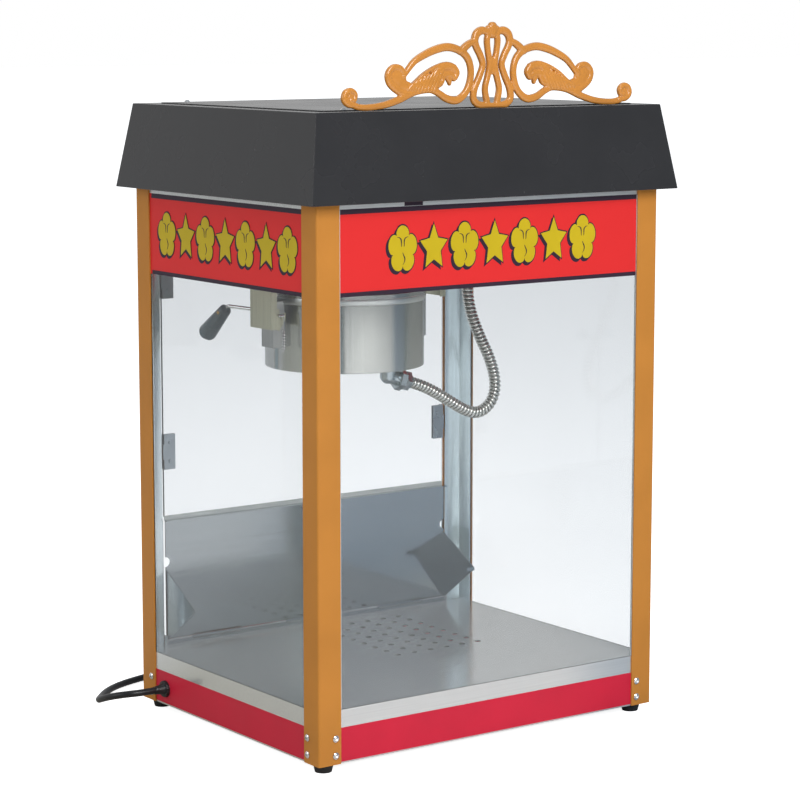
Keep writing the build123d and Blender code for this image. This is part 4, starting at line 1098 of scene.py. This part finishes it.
# ------------------------------------------------------------------ signs
@dataclass
class SignPanel:
    """Printed sign: dark borders and a row of ornaments, each with a dark edge and a shadow to its lower
    left.

    right and out are the panel's own directions, middle its centre. film is one layer of print, and the
    tops say how many layers each print reaches above the panel. Lengths inside an ornament are shares of
    its half size.
    """

    name: str
    middle: Point
    right: Point
    out: Point
    half_width: float
    half_height: float = 0.05515
    border_top: float = 0.0064
    border_bottom: float = 0.0054
    count: int = 7
    row_half: float = 0.173
    row_shift: float = 0.001
    row_height: float = 0.0006
    glyph_half: float = 0.0228
    glyph_tall: float = 0.0305
    edge: float = 0.0014
    shadow: Span = (-0.0030, -0.0030)
    shadow_edge: float = 0.7
    film: float = 0.00025
    shadow_top: float = 1.6
    edge_top: float = 2.0
    yellow_top: float = 3.4
    fold_tops: Span = (3.6, 4.1)
    outline_steps: int = 120
    border_steps: int = 20
    puffs: int = 5
    puff_core: float = 0.70
    puff_reach: float = 0.30
    puff_power: float = 0.55
    star_tips: int = 5
    star_inner: float = 0.50
    star_tip_grow: float = 1.6
    fold_steps: int = 14
    fold_start: float = 0.14
    fold_reach: float = 0.5
    fold_bend: float = 0.35
    fold_half: float = 0.035

    def place(self, across: np.ndarray, up: np.ndarray, out: np.ndarray) -> np.ndarray:
        """Panel coordinates as points in the frame."""
        middle, right, face = (np.asarray(v, float) for v in (self.middle, self.right, self.out))
        return middle + across[..., None] * right + up[..., None] * np.array([0, 0, 1.0]) + out[..., None] * face

    def plate(self, across: np.ndarray, up: np.ndarray, low: float, high: float) -> Surface:
        """A closed plate whose outline is given: rings at shares of the outline's distance from its middle,
        down the far side, over the edge and back up the near side.

        Args:
            across: the outline's points across the panel.
            up: its points up the panel.
            low: the plate's back, in front of the panel.
            high: its face.

        Returns:
            Points and faces.
        """
        x, z = across.mean(), up.mean()
        share = np.array([0, 0.5, 1, 1, 0.5, 0])[:, None]
        height = np.array([low, low, low, high, high, high])[:, None] * np.ones(len(across))
        points = self.place(x + share * (across - x), z + share * (up - z), height)
        return points, grid_faces(6, len(across), close_columns=True)

    def outline(self, kind: Kind, grow: float) -> tuple[np.ndarray, np.ndarray]:
        """An ornament's outline about its own middle, in units of its half size.

        A kernel is five puffs: the radius is the core plus the reach times a power of |cos| of half the
        number of puffs times the angle. A star runs straight between points on two circles by turns.

        Args:
            kind: which ornament.
            grow: added to the radius, for the dark edge.

        Returns:
            Coordinates across and up.
        """
        angle, top = circle_angles(self.outline_steps), np.pi / 2
        if kind is Kind.KERNEL:
            puff = np.abs(np.cos(self.puffs / 2 * (angle - top))) ** self.puff_power
            radius = self.puff_core + self.puff_reach * puff + grow
            return radius * np.cos(angle), radius * np.sin(angle)
        corner = np.arange(2 * self.star_tips + 1)
        turn = corner * np.pi / self.star_tips + top
        size = np.where(corner % 2 == 0, 1.0 + self.star_tip_grow * grow, self.star_inner + grow)
        t = (angle - top) % FULL_TURN + top
        return np.interp(t, turn, size * np.cos(turn)), np.interp(t, turn, size * np.sin(turn))

    def places(self) -> np.ndarray:
        """The ornaments' middles across the panel, evenly spaced."""
        return (np.arange(self.count) - (self.count - 1) / 2) * (2 * self.row_half / self.count) + self.row_shift

    def glyphs(self, grow: float, shift: Span, low: float, high: float) -> Surface:
        """The row of ornaments as plates: kernels and stars by turns.

        Args:
            grow: how far each outline is widened.
            shift: how far the row is moved across and up.
            low: the plates' back, in front of the panel.
            high: their face.

        Returns:
            Points and faces.
        """
        parts = []
        for number, middle in enumerate(self.places()):
            x, z = self.outline(Kind.KERNEL if number % 2 == 0 else Kind.STAR, grow / self.glyph_half)
            parts.append(self.plate(middle + shift[0] + x * self.glyph_half,
                                    self.row_height + shift[1] + z * self.glyph_tall, low, high))
        return joined(parts)

    def folds(self) -> Surface:
        """Short dark creases between a kernel's puffs: three bent strokes from near its middle outwards.

        A stroke's bearing swings out and back by a half sine along it and its width swells by a sine. Its
        outline runs up one side and back down the other; quads from side to side close its face.

        Returns:
            Points and faces.
        """
        count, bearing = 2 * self.fold_steps, np.pi / 5
        t = np.linspace(0, 1, self.fold_steps)
        reach = self.fold_start + self.fold_reach * t
        wide = self.fold_half * np.sin(np.pi * (0.15 + 0.7 * t))
        strip = np.arange(self.fold_steps - 1)
        face = count + np.stack([strip, strip + 1, count - 2 - strip, count - 1 - strip], 1)
        faces = np.concatenate([grid_faces(2, count, close_columns=True), face])
        parts = []
        for middle in self.places()[::2]:
            for turn in (np.pi / 2 + bearing, np.pi / 2 - bearing, 1.5 * np.pi):
                bend = turn + self.fold_bend * np.sin(t * np.pi) * np.sign(np.cos(turn) + 0.1)
                x, z = reach * np.cos(bend), reach * np.sin(bend)
                loop_x = np.concatenate([x - wide * np.sin(bend), (x + wide * np.sin(bend))[::-1]])
                loop_z = np.concatenate([z + wide * np.cos(bend), (z - wide * np.cos(bend))[::-1]])
                across, up = middle + loop_x * self.glyph_half, self.row_height + loop_z * self.glyph_tall
                rings = [self.place(across, up, np.full(count, top * self.film)) for top in self.fold_tops]
                parts.append((np.stack(rings), faces))
        return joined(parts)

    def build(self, shop: Paintshop) -> list[bpy.types.Object]:
        """Prints the panel: borders and shadows in dark, ornaments in yellow, creases in dark.

        Args:
            shop: the materials.

        Returns:
            The pieces.
        """
        w, h, steps, film, still = self.half_width, self.half_height, self.border_steps, self.film, (0.0, 0.0)
        bars = []
        for low, high in ((h - self.border_top, h), (-h, -h + self.border_bottom)):
            x = np.concatenate([np.linspace(-w, w, steps), np.linspace(w, -w, steps)])
            z = np.concatenate([np.full(steps, high), np.full(steps, low)])
            bars.append(self.plate(x, z, 0.0, film))
        edges = self.glyphs(self.edge, still, 0.0, self.edge_top * film)
        shadows = self.glyphs(self.edge * self.shadow_edge, self.shadow, 0.0, self.shadow_top * film)
        dark = joined(bars + [edges, shadows, self.folds()])
        yellow = self.glyphs(0.0, still, film, self.yellow_top * film)
        made = []
        for name, (points, faces), finish in (("dark", dark, SIGN_DARK), ("yellow", yellow, SIGN_YELLOW)):
            piece = solid_piece(f"{self.name}_{name}_print", points, faces, sharp_deg=30)
            shop.dress(piece, finish)
            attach(piece, "root")
            made.append(piece)
            log.info("%s: %d faces", piece.name, len(piece.data.polygons))
        return made


# ------------------------------------------------------------------ kettle details
@dataclass
class HandleGrip:
    """Dark tapered grip of the dump handle, with a flat ridge on each side and a brass screw."""

    start: Point = (-0.210, 0.098, 0.571)
    end: Point = (-0.210, 0.155, 0.5275)
    narrow: float = 0.0080
    wide: float = 0.0134
    start_share: float = 0.07
    end_share: float = 0.16
    flat_share: float = 0.90
    flat_turn: float = 0.5
    around: int = 48
    screw_along: float = 0.011
    screw_sides: int = 20

    def build(self, shop: Paintshop) -> list[bpy.types.Object]:
        """Lofts the grip: the radius grows evenly along it and closes as a quarter circle at each end;
        round it, the radius is that of a circle cut by two long flats.

        Args:
            shop: the materials.

        Returns:
            The grip and its screw.
        """
        a, b = np.array(self.start), np.array(self.end)
        length = float(np.linalg.norm(b - a))
        along = (b - a) / length
        head = (1 - np.cos(np.linspace(0, np.pi / 2, 9))) * self.start_share
        shank = np.linspace(0.1, 1 - self.end_share, 14)
        foot = 1 - (1 - np.sin(np.linspace(0, np.pi / 2, 12))) * (self.end_share - 0.01)
        t = np.unique(np.round(np.concatenate([head, shank, foot]), 5))
        body = self.narrow + (self.wide - self.narrow) * t
        start_round = np.sqrt(np.clip(1 - (1 - np.clip(t / self.start_share, 0, 1)) ** 2, 0, 1))
        end_round = np.sqrt(np.clip(1 - (1 - np.clip((1 - t) / self.end_share, 0, 1)) ** 2, 0, 1))
        facing = np.abs(np.cos(circle_angles(self.around) - self.flat_turn))
        flats = np.minimum(1.0, self.flat_share / np.maximum(facing, 1e-6))
        radius = (body * start_round * end_round)[:, None] * flats[None, :]
        points, faces = tube(a + t[:, None] * length * along, radius, (1, 0, 0), self.around)
        grip = solid_piece("dump_handle_grip", points, faces, sharp_deg=60)
        shop.dress(grip, GRIP_PLASTIC)
        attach(grip, "kettle")
        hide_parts("handle_grip")
        seat = a + along * self.screw_along + np.array([-1.0, 0.0, 0.0]) * (self.narrow + 0.0006)
        dome = np.array([(0.0, -0.003), (0.0026, -0.003), (0.0026, 0.0), (0.0022, 0.0007), (0.0012, 0.0011),
                         (0.0, 0.0012)])
        screw = solid_piece("grip_screw", *lathe(dome, tuple(seat), (-1, 0, 0), self.screw_sides))
        shop.dress(screw, BRASS)
        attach(screw, "kettle")
        log.info("grip: %d faces", len(grip.data.polygons))
        return [grip, screw]


@dataclass
class Catch:
    """Pin in the hanger's hook, and the open spring hanging from it."""

    pin_x: Span = (-0.1918, -0.1825)
    pin_y: float = -0.002
    pin_z: float = 0.568
    pin_radius: float = 0.002
    spring_top: Point = (-0.184, -0.0036, 0.549)
    spring_bottom: Point = (-0.184, -0.0036, 0.519)
    coil_radius: float = 0.0027
    wire: float = 0.0007
    coils: int = 8
    per_coil: int = 18
    end_share: float = 0.05
    least_ease: float = 0.12
    lead_points: int = 6

    def spring(self) -> Surface:
        """Winds the wire at an even rate; it starts at the pin, and its radius eases in and out over a share
        of its length at each end.

        Returns:
            Points and faces.
        """
        turns = np.linspace(0, 1, self.coils * self.per_coil)
        top, bottom = np.array(self.spring_top), np.array(self.spring_bottom)
        ease = np.clip(np.minimum(turns, 1 - turns) / self.end_share, self.least_ease, 1)
        angle = FULL_TURN * self.coils * turns
        line = top + turns[:, None] * (bottom - top)
        line[:, 0] += self.coil_radius * ease * np.cos(angle)
        line[:, 1] += self.coil_radius * ease * np.sin(angle)
        rise = np.linspace(self.pin_z - self.pin_radius, self.spring_top[2] + 0.001, self.lead_points)
        lead = np.column_stack([np.full(self.lead_points, line[0, 0]), np.full(self.lead_points, line[0, 1]), rise])
        return tube(np.concatenate([lead, line]), np.array([[self.wire]]), (0.3, 1.0, 0.2), 8)

    def build(self, shop: Paintshop) -> bpy.types.Object:
        """Makes the pin and the spring as one piece.

        Args:
            shop: the materials.

        Returns:
            The piece.
        """
        radius, width, chamfer = self.pin_radius, self.pin_x[1] - self.pin_x[0], 0.2 * self.pin_radius
        profile = np.array([(0, 0), (radius - chamfer, 0), (radius, chamfer), (radius, width - chamfer),
                            (radius - chamfer, width), (0, width)])
        pin = lathe(profile, (self.pin_x[0], self.pin_y, self.pin_z), (1, 0, 0), 24)
        catch = solid_piece("kettle_catch_spring", *joined([pin, self.spring()]))
        shop.dress(catch, BRIGHT_SCREW)
        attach(catch, "root")
        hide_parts("kettle_catch")
        log.info("catch: %d faces", len(catch.data.polygons))
        return catch


@dataclass
class KettleRim:
    """Rolled bead round the kettle, just below its lids."""

    centre: Span = (-0.062, 0.033)
    shell_radius: float = 0.108
    reach: float = 0.0034
    sunk: float = 0.0002
    hidden: float = 0.0005
    squareness: float = 0.7
    middle_z: float = 0.5874
    half_tall: float = 0.0068
    sides: int = 20
    around: int = 128

    def build(self, shop: Paintshop) -> bpy.types.Object:
        """Carries a closed oval round the kettle's axis; the oval's middle lies just inside the shell, and
        its inner half is flattened and hidden in the wall.

        Args:
            shop: the materials.

        Returns:
            The bead.
        """
        t, turn = circle_angles(self.sides)[:, None], circle_angles(self.around)[None, :]
        swell = np.sign(np.cos(t)) * np.abs(np.cos(t)) ** self.squareness
        radius = self.shell_radius - self.sunk + self.reach * swell
        radius = np.maximum(radius, self.shell_radius - self.hidden)
        height = self.middle_z + self.half_tall * np.sin(t)
        points = np.stack([self.centre[0] + radius * np.cos(turn), self.centre[1] + radius * np.sin(turn),
                           height + 0 * turn], axis=-1)
        faces = grid_faces(self.sides, self.around, close_rows=True, close_columns=True)
        rim = solid_piece("kettle_rim", points, faces)
        # the bead's steel is lighter than the shell's: painted highlight
        shop.dress(rim, RIM_STEEL_PAINTED_HIGHLIGHT)
        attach(rim, "kettle")
        log.info("kettle rim: %d faces", len(rim.data.polygons))
        return rim


@dataclass
class ElbowNut:
    """Hexagonal clamp nut where the hose enters the kettle's elbow."""

    centre: Point = (0.0250, 0.020, 0.4619)
    axis: Point = (0.958, 0.0, -0.287)
    corner: float = 0.0150
    thick: float = 0.0090
    chamfer: float = 0.07
    chamfer_thick: float = 0.12

    def build(self, shop: Paintshop) -> bpy.types.Object:
        """Turns a six-sided profile about the hose's first direction, with a round collar on both sides.

        Args:
            shop: the materials.

        Returns:
            The nut.
        """
        r, t = self.corner, self.thick
        flat, rise = r * (1 - self.chamfer), t * self.chamfer_thick
        nut = lathe(np.array([(0.0, 0.0), (flat, 0.0), (r, rise), (r, t - rise), (flat, t), (0.0, t)]),
                    self.centre, self.axis, 6)
        collar = lathe(np.array([(0.0, -0.006), (0.0108, -0.006), (0.0112, -0.0054), (0.0112, t + 0.0022),
                                 (0.0106, t + 0.003), (0.0, t + 0.003)]), self.centre, self.axis, 36)
        piece = solid_piece("elbow_clamp_nut", *joined([nut, collar]), sharp_deg=25)
        shop.dress(piece, ZINC)
        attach(piece, "kettle")
        log.info("elbow nut: %d faces", len(piece.data.polygons))
        return piece


@dataclass
class GateTrim:
    """Raised hem along the gate's top, the sill strip below it and a narrow guard behind each side."""

    hem: tuple[Point, Point] = ((-0.2420, 0.2172, 0.2612), (0.2420, 0.2187, 0.2680))
    guard_x: Span = (0.2427, 0.2478)
    guard_y: Span = (0.2196, 0.2206)
    guard_z: Span = (0.0850, 0.2610)
    sill: tuple[Point, Point] = ((-0.2428, 0.2122, 0.0831), (0.2428, 0.2136, 0.0885))

    def build(self, shop: Paintshop) -> list[bpy.types.Object]:
        """Makes the hem, the guards and the sill as plain strips of sheet.

        Args:
            shop: the materials.

        Returns:
            The pieces.
        """
        made = []
        (inner, outer), (front, back), (low, high) = self.guard_x, self.guard_y, self.guard_z
        guards = joined([block((-outer, front, low), (-inner, back, high)),
                         block((inner, front, low), (outer, back, high))])
        for name, solid, finish, body, slot in (
                ("gate_hem", block(*self.hem), HEM_STEEL, "ramp", "bright_steel"),
                ("gate_guards", guards, POST_STEEL, "root", "bright_steel"),
                ("gate_sill", block(*self.sill), RAMP_STEEL, "root", "bright_steel")):
            piece = solid_piece(name, *solid, smooth=False)
            shop.dress(piece, finish)
            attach(piece, body)
            made.append(piece)
        log.info("gate trim: %d pieces", len(made))
        return made


@dataclass
class FrameTrim:
    """Dark plates painted as the shade inside the frame's openings, brushed lengths and light edges of the bright
    frame round the front pane.
    """

    face: float = -0.2205
    film: float = 0.0003
    # slots are the spans of the openings, each covered by a dark plate as painted shade
    slots: tuple[Span, ...] = ((-0.144, -0.115),)
    smoked: tuple[Span, ...] = ((-0.077, 0.057), (0.080, 0.210))
    band: Span = (0.7255, 0.7320)
    edges: tuple[Span, ...] = ((-0.2453, -0.2440), (0.2440, 0.2453))
    edge_rise: Span = (0.0835, 0.7245)

    def strip(self, spans: tuple[Span, ...], rise: Span, film: float) -> Surface:
        """Thin plates in front of the frame over each span."""
        return joined([block((low, self.face - film, rise[0]), (high, self.face, rise[1])) for low, high in spans])

    def build(self, shop: Paintshop) -> list[bpy.types.Object]:
        """Lays on dark plates painted as the shade inside the openings, the brushed lengths and the two light
        edges.

        Args:
            shop: the materials.

        Returns:
            The pieces.
        """
        made = []
        # the openings are dark print plates: painted shade inside them
        for name, solid, finish, slot in (
                ("frame_opening_shade", self.strip(self.slots, self.band, self.film), SIGN_DARK, "bright_steel"),
                ("frame_smoked", self.strip(self.smoked, self.band, self.film), EDGE_STEEL, "bright_steel"),
                ("frame_edges", self.strip(self.edges, self.edge_rise, 3 * self.film), EDGE_STEEL, "bright_steel")):
            piece = solid_piece(name, *solid, smooth=False)
            shop.dress(piece, finish)
            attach(piece, "root")
            made.append(piece)
        log.info("frame trim: %d pieces", len(made))
        return made


# ------------------------------------------------------------------ rounded frame nodes
@dataclass
class SheetWork:
    """Frame nodes whose folded or cut edges are rounded, with the width of the round."""

    edges: dict[str, float] = field(default_factory=lambda: {
        "post_front_left": 0.0005, "post_front_right": 0.0005, "post_rear_left": 0.0005, "post_rear_right": 0.0005,
        "base_skirt": 0.0004, "base_skirt_rear": 0.0004, "deck_pan": 0.0, "canopy_front": 0.0006,
        "canopy_rear": 0.0006, "canopy_sides": 0.0006, "canopy_lid": 0.0004, "canopy_screws": 0.0,
        "post_screws": 0.0, "hanger_left": 0.0004, "hanger_right": 0.0004, "kettle_shell": 0.0,
        "kettle_pan": 0.0, "kettle_arms": 0.0004, "kettle_bridge": 0.0003, "kettle_lid_front": 0.0,
        "kettle_lid_rear": 0.0, "dump_handle": 0.0, "conduit_elbow": 0.0, "ceiling_fittings": 0.0003,
        "gear_motor": 0.0006, "ramp": 0.0003, "ramp_hinge": 0.0, "drawer": 0.0004, "door_hinges": 0.0002,
        "door_fittings_left": 0.0002, "door_fittings_right": 0.0002, "stirrer": 0.0003, "drive_shaft": 0.0003,
        "feet": 0.0004, "switch_warmer": 0.0005, "switch_stirrer": 0.0005, "switch_kettle": 0.0005,
        "control_plate": 0.0002, "lamp_bulb": 0.0, "plug": 0.0004, "inner_posts": 0.0003, "heater_plate": 0.0003,
    })

    def build(self, shop: Paintshop, frame: dict, bodies: dict[str, str], slots: dict[str, str]) -> None:
        """Copies each node with its edges rounded, and lets the copy stand for it.

        Args:
            shop: the materials.
            frame: what import_model() returned.
            bodies: node to body.
            slots: node to material slot; not used.
        """
        for name, edge in self.edges.items():
            piece = merged_copy(frame["nodes"][name], f"{name}_finished", edge)
            shop.dress(piece, NODE_FINISHES[name])
            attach(piece, bodies[name])
            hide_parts(name)
        log.info("sheet work: %d pieces", len(self.edges))


# ------------------------------------------------------------------ studio
@dataclass
class Studio:
    """Pale floor, soft lamps and the camera."""

    camera_place: Point = (-2.0984, -2.9206, 0.9661)
    azimuth_deg: float = -35.80
    pitch_deg: float = -8.358
    lens: float = 118.07
    floor_half: float = 40.0
    glow_direct: float = 0.85
    glow_through: float = 0.60
    floor_white: Colour = (0.90, 0.90, 0.90)
    floor_tones: tuple[tuple[float, Colour], ...] = (
        (-142, (0.90, 0.90, 0.90)), (-128, (0.52, 0.51, 0.44)), (-62, (0.52, 0.51, 0.46)),
        (-38, (0.90, 0.90, 0.90)), (34, (0.90, 0.90, 0.90)), (43, (0.38, 0.46, 0.55)), (62, (0.40, 0.47, 0.53)),
        (75, (0.62, 0.62, 0.58)), (122, (0.62, 0.62, 0.58)), (146, (0.90, 0.90, 0.90)))

    def camera(self) -> None:
        """Stands the camera where the machine is seen from its front left."""
        lens = bpy.data.cameras.new("camera")
        lens.lens = self.lens
        lens.sensor_width = 36.0
        lens.clip_end = 200.0
        camera = bpy.data.objects.new("camera", lens)
        camera.location = self.camera_place
        camera.rotation_euler = (math.radians(90 + self.pitch_deg), 0.0, math.radians(self.azimuth_deg))
        bpy.context.scene.collection.objects.link(camera)
        bpy.context.scene.camera = camera

    def floor_paint(self) -> bpy.types.Material:
        """Paint that is white to the eye; what steel mirrors of it is darker to the sides, as a room is
        beyond the white sweep: the tone runs with the bearing round the machine.

        Returns:
            The material.
        """
        recipe = Recipe("studio floor")
        recipe.fix(Roughness=0.9, Specular_IOR_Level=0.1)
        recipe.shader.inputs["Emission Color"].default_value = (1.0, 1.0, 1.0, 1.0)
        place, split, bearing = recipe.node("TexCoord"), recipe.node("SeparateXYZ"), recipe.node("Math")
        turn, back, seen = recipe.node("MapRange"), recipe.node("Math"), recipe.node("Math")
        bearing.operation, back.operation, seen.operation = "ARCTAN2", "MULTIPLY", "ADD"
        back.inputs[1].default_value = -1.0
        turn.inputs["From Min"].default_value = -math.pi
        turn.inputs["From Max"].default_value = math.pi
        recipe.link(place.outputs["Object"], split.inputs[0])
        recipe.link(split.outputs["Y"], back.inputs[0])
        recipe.link(split.outputs["X"], bearing.inputs[0])
        recipe.link(back.outputs[0], bearing.inputs[1])
        recipe.link(bearing.outputs[0], turn.inputs["Value"])
        room = recipe.node("ValToRGB")
        ramp = room.color_ramp
        ramp.elements[0].color = (*self.floor_white, 1.0)
        ramp.elements[1].color = (*self.floor_white, 1.0)
        for degrees, colour in self.floor_tones:
            stop = ramp.elements.new(degrees / 360 + 0.5)
            stop.color = (*colour, 1.0)
        recipe.link(turn.outputs["Result"], room.inputs["Fac"])
        path, pick, mirrored = recipe.node("LightPath"), recipe.node("Mix"), recipe.node("Math")
        pick.data_type = "RGBA"
        mirrored.use_clamp = True
        seen.operation = "SUBTRACT"
        seen.inputs[0].default_value = 1.0
        recipe.link(path.outputs["Glossy Depth"], mirrored.inputs[0])
        recipe.link(path.outputs["Diffuse Depth"], mirrored.inputs[1])
        recipe.link(mirrored.outputs[0], seen.inputs[1])
        recipe.link(seen.outputs[0], pick.inputs["Factor"])
        recipe.link(room.outputs["Color"], pick.inputs[6])
        pick.inputs[7].default_value = (0.93, 0.93, 0.93, 1.0)
        recipe.link(pick.outputs[2], recipe.shader.inputs["Base Color"])
        direct, through, glow = recipe.node("Math"), recipe.node("Math"), recipe.node("Math")
        direct.operation = through.operation = "MULTIPLY"
        direct.inputs[1].default_value = self.glow_direct - self.glow_through
        through.inputs[1].default_value = self.glow_through
        recipe.link(path.outputs["Is Camera Ray"], direct.inputs[0])
        recipe.link(seen.outputs[0], through.inputs[0])
        recipe.link(direct.outputs[0], glow.inputs[0])
        recipe.link(through.outputs[0], glow.inputs[1])
        recipe.link(glow.outputs[0], recipe.shader.inputs["Emission Strength"])
        return recipe.material

    def floor(self) -> None:
        """Lays one large pale sheet under the feet."""
        h = self.floor_half
        points = np.array([[-h, -h, 0], [h, -h, 0], [h, h, 0], [-h, h, 0]], float)
        mesh = bpy.data.meshes.new("studio_floor")
        mesh.from_pydata(points.tolist(), [], [[0, 1, 2, 3]])
        floor = placed_piece("studio_floor", mesh, False, 30)
        floor.data.materials.append(self.floor_paint())

    def lamp(self, name: str, place: Point, aim: Point, size: float, power: float, colour: Colour) -> None:
        """Hangs one soft square lamp.

        Args:
            name: the lamp's name.
            place: where it hangs.
            aim: what it shines at.
            size: its side.
            power: in watts.
            colour: its light.
        """
        light = bpy.data.lights.new(name, "AREA")
        light.size = size
        light.energy = power
        light.color = colour
        lamp = bpy.data.objects.new(name, light)
        lamp.location = place
        away = np.array(place) - np.array(aim)
        flat = float(np.hypot(away[0], away[1]))
        lamp.rotation_euler = (math.atan2(flat, away[2]), 0.0, math.atan2(away[0], -away[1]))
        bpy.context.scene.collection.objects.link(lamp)

    def sky(self) -> None:
        """A room that is white behind the machine and darker, a little blue, in front of it."""
        world = bpy.data.worlds.new("studio")
        bpy.context.scene.world = world
        world.use_nodes = True
        nodes, links = world.node_tree.nodes, world.node_tree.links
        background = nodes["Background"]
        place = nodes.new("ShaderNodeTexCoord")
        split = nodes.new("ShaderNodeSeparateXYZ")
        ramp = nodes.new("ShaderNodeValToRGB")
        ramp.color_ramp.elements[0].position = 0.1
        ramp.color_ramp.elements[0].color = (0.27, 0.30, 0.34, 1.0)
        ramp.color_ramp.elements[1].position = 0.9
        ramp.color_ramp.elements[1].color = (0.72, 0.72, 0.72, 1.0)
        middle = ramp.color_ramp.elements.new(0.78)
        middle.color = (0.40, 0.42, 0.43, 1.0)
        spread = nodes.new("ShaderNodeMapRange")
        spread.inputs["From Min"].default_value = -1.0
        links.new(place.outputs["Generated"], split.inputs[0])
        links.new(split.outputs["Y"], spread.inputs["Value"])
        links.new(spread.outputs["Result"], ramp.inputs["Fac"])
        path = nodes.new("ShaderNodeLightPath")
        mix = nodes.new("ShaderNodeMixRGB")
        mix.inputs["Color2"].default_value = (1.0, 1.0, 1.0, 1.0)
        links.new(path.outputs["Is Camera Ray"], mix.inputs["Fac"])
        links.new(ramp.outputs["Color"], mix.inputs["Color1"])
        links.new(mix.outputs["Color"], background.inputs["Color"])
        background.inputs["Strength"].default_value = 1.0

    def build(self) -> None:
        """Sets up the whole studio."""
        self.camera()
        self.floor()
        self.sky()
        self.lamp("key", (-0.5, -3.8, 2.7), (0.0, 0.0, 0.5), 2.4, 135.0, (1.0, 0.98, 0.96))
        self.lamp("fill", (-3.6, 0.6, 1.8), (0.0, 0.0, 0.4), 2.4, 30.0, (0.97, 0.98, 1.0))
        self.lamp("top", (0.2, 0.4, 3.4), (0.0, 0.0, 0.4), 2.2, 16.0, (1.0, 1.0, 1.0))
        bpy.context.scene.view_settings.view_transform = "Standard"
        log.info("studio ready")


def main() -> None:
    """Builds the machine's looks around its frame, piece by piece."""
    logging.basicConfig(level=logging.INFO, format="%(name)s: %(message)s")
    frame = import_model()
    record = frame["record"]
    bodies = {node: body for body, nodes in record["behaviour"]["bodies"].items() for node in nodes}
    slots = {part["node"]: part["material_slot"] for part in record["subparts"]}
    shop = Paintshop()
    Studio().build()
    for name, finish in NODE_FINISHES.items():
        shop.dress(frame["nodes"][name], finish)
    SheetWork().build(shop, frame, bodies, slots)
    MainsCord().build(shop, bpy.data.objects["plug_finished"])
    CordGland().build(shop)
    FlexConduit().build(shop)
    Crest().build(shop)
    SignPanel("front_sign", (0.0, -0.2205, 0.66985), (1, 0, 0), (0, -1, 0), 0.2455).build(shop)
    SignPanel("left_sign", (-0.278, -0.005, 0.66985), (0, -1, 0), (-1, 0, 0), 0.188).build(shop)
    SignPanel("right_sign", (0.278, -0.005, 0.66985), (0, 1, 0), (1, 0, 0), 0.188).build(shop)
    HandleGrip().build(shop)
    Catch().build(shop)
    ElbowNut().build(shop)
    KettleRim().build(shop)
    GateTrim().build(shop)
    FrameTrim().build(shop)


if __name__ == "__main__":
    main()
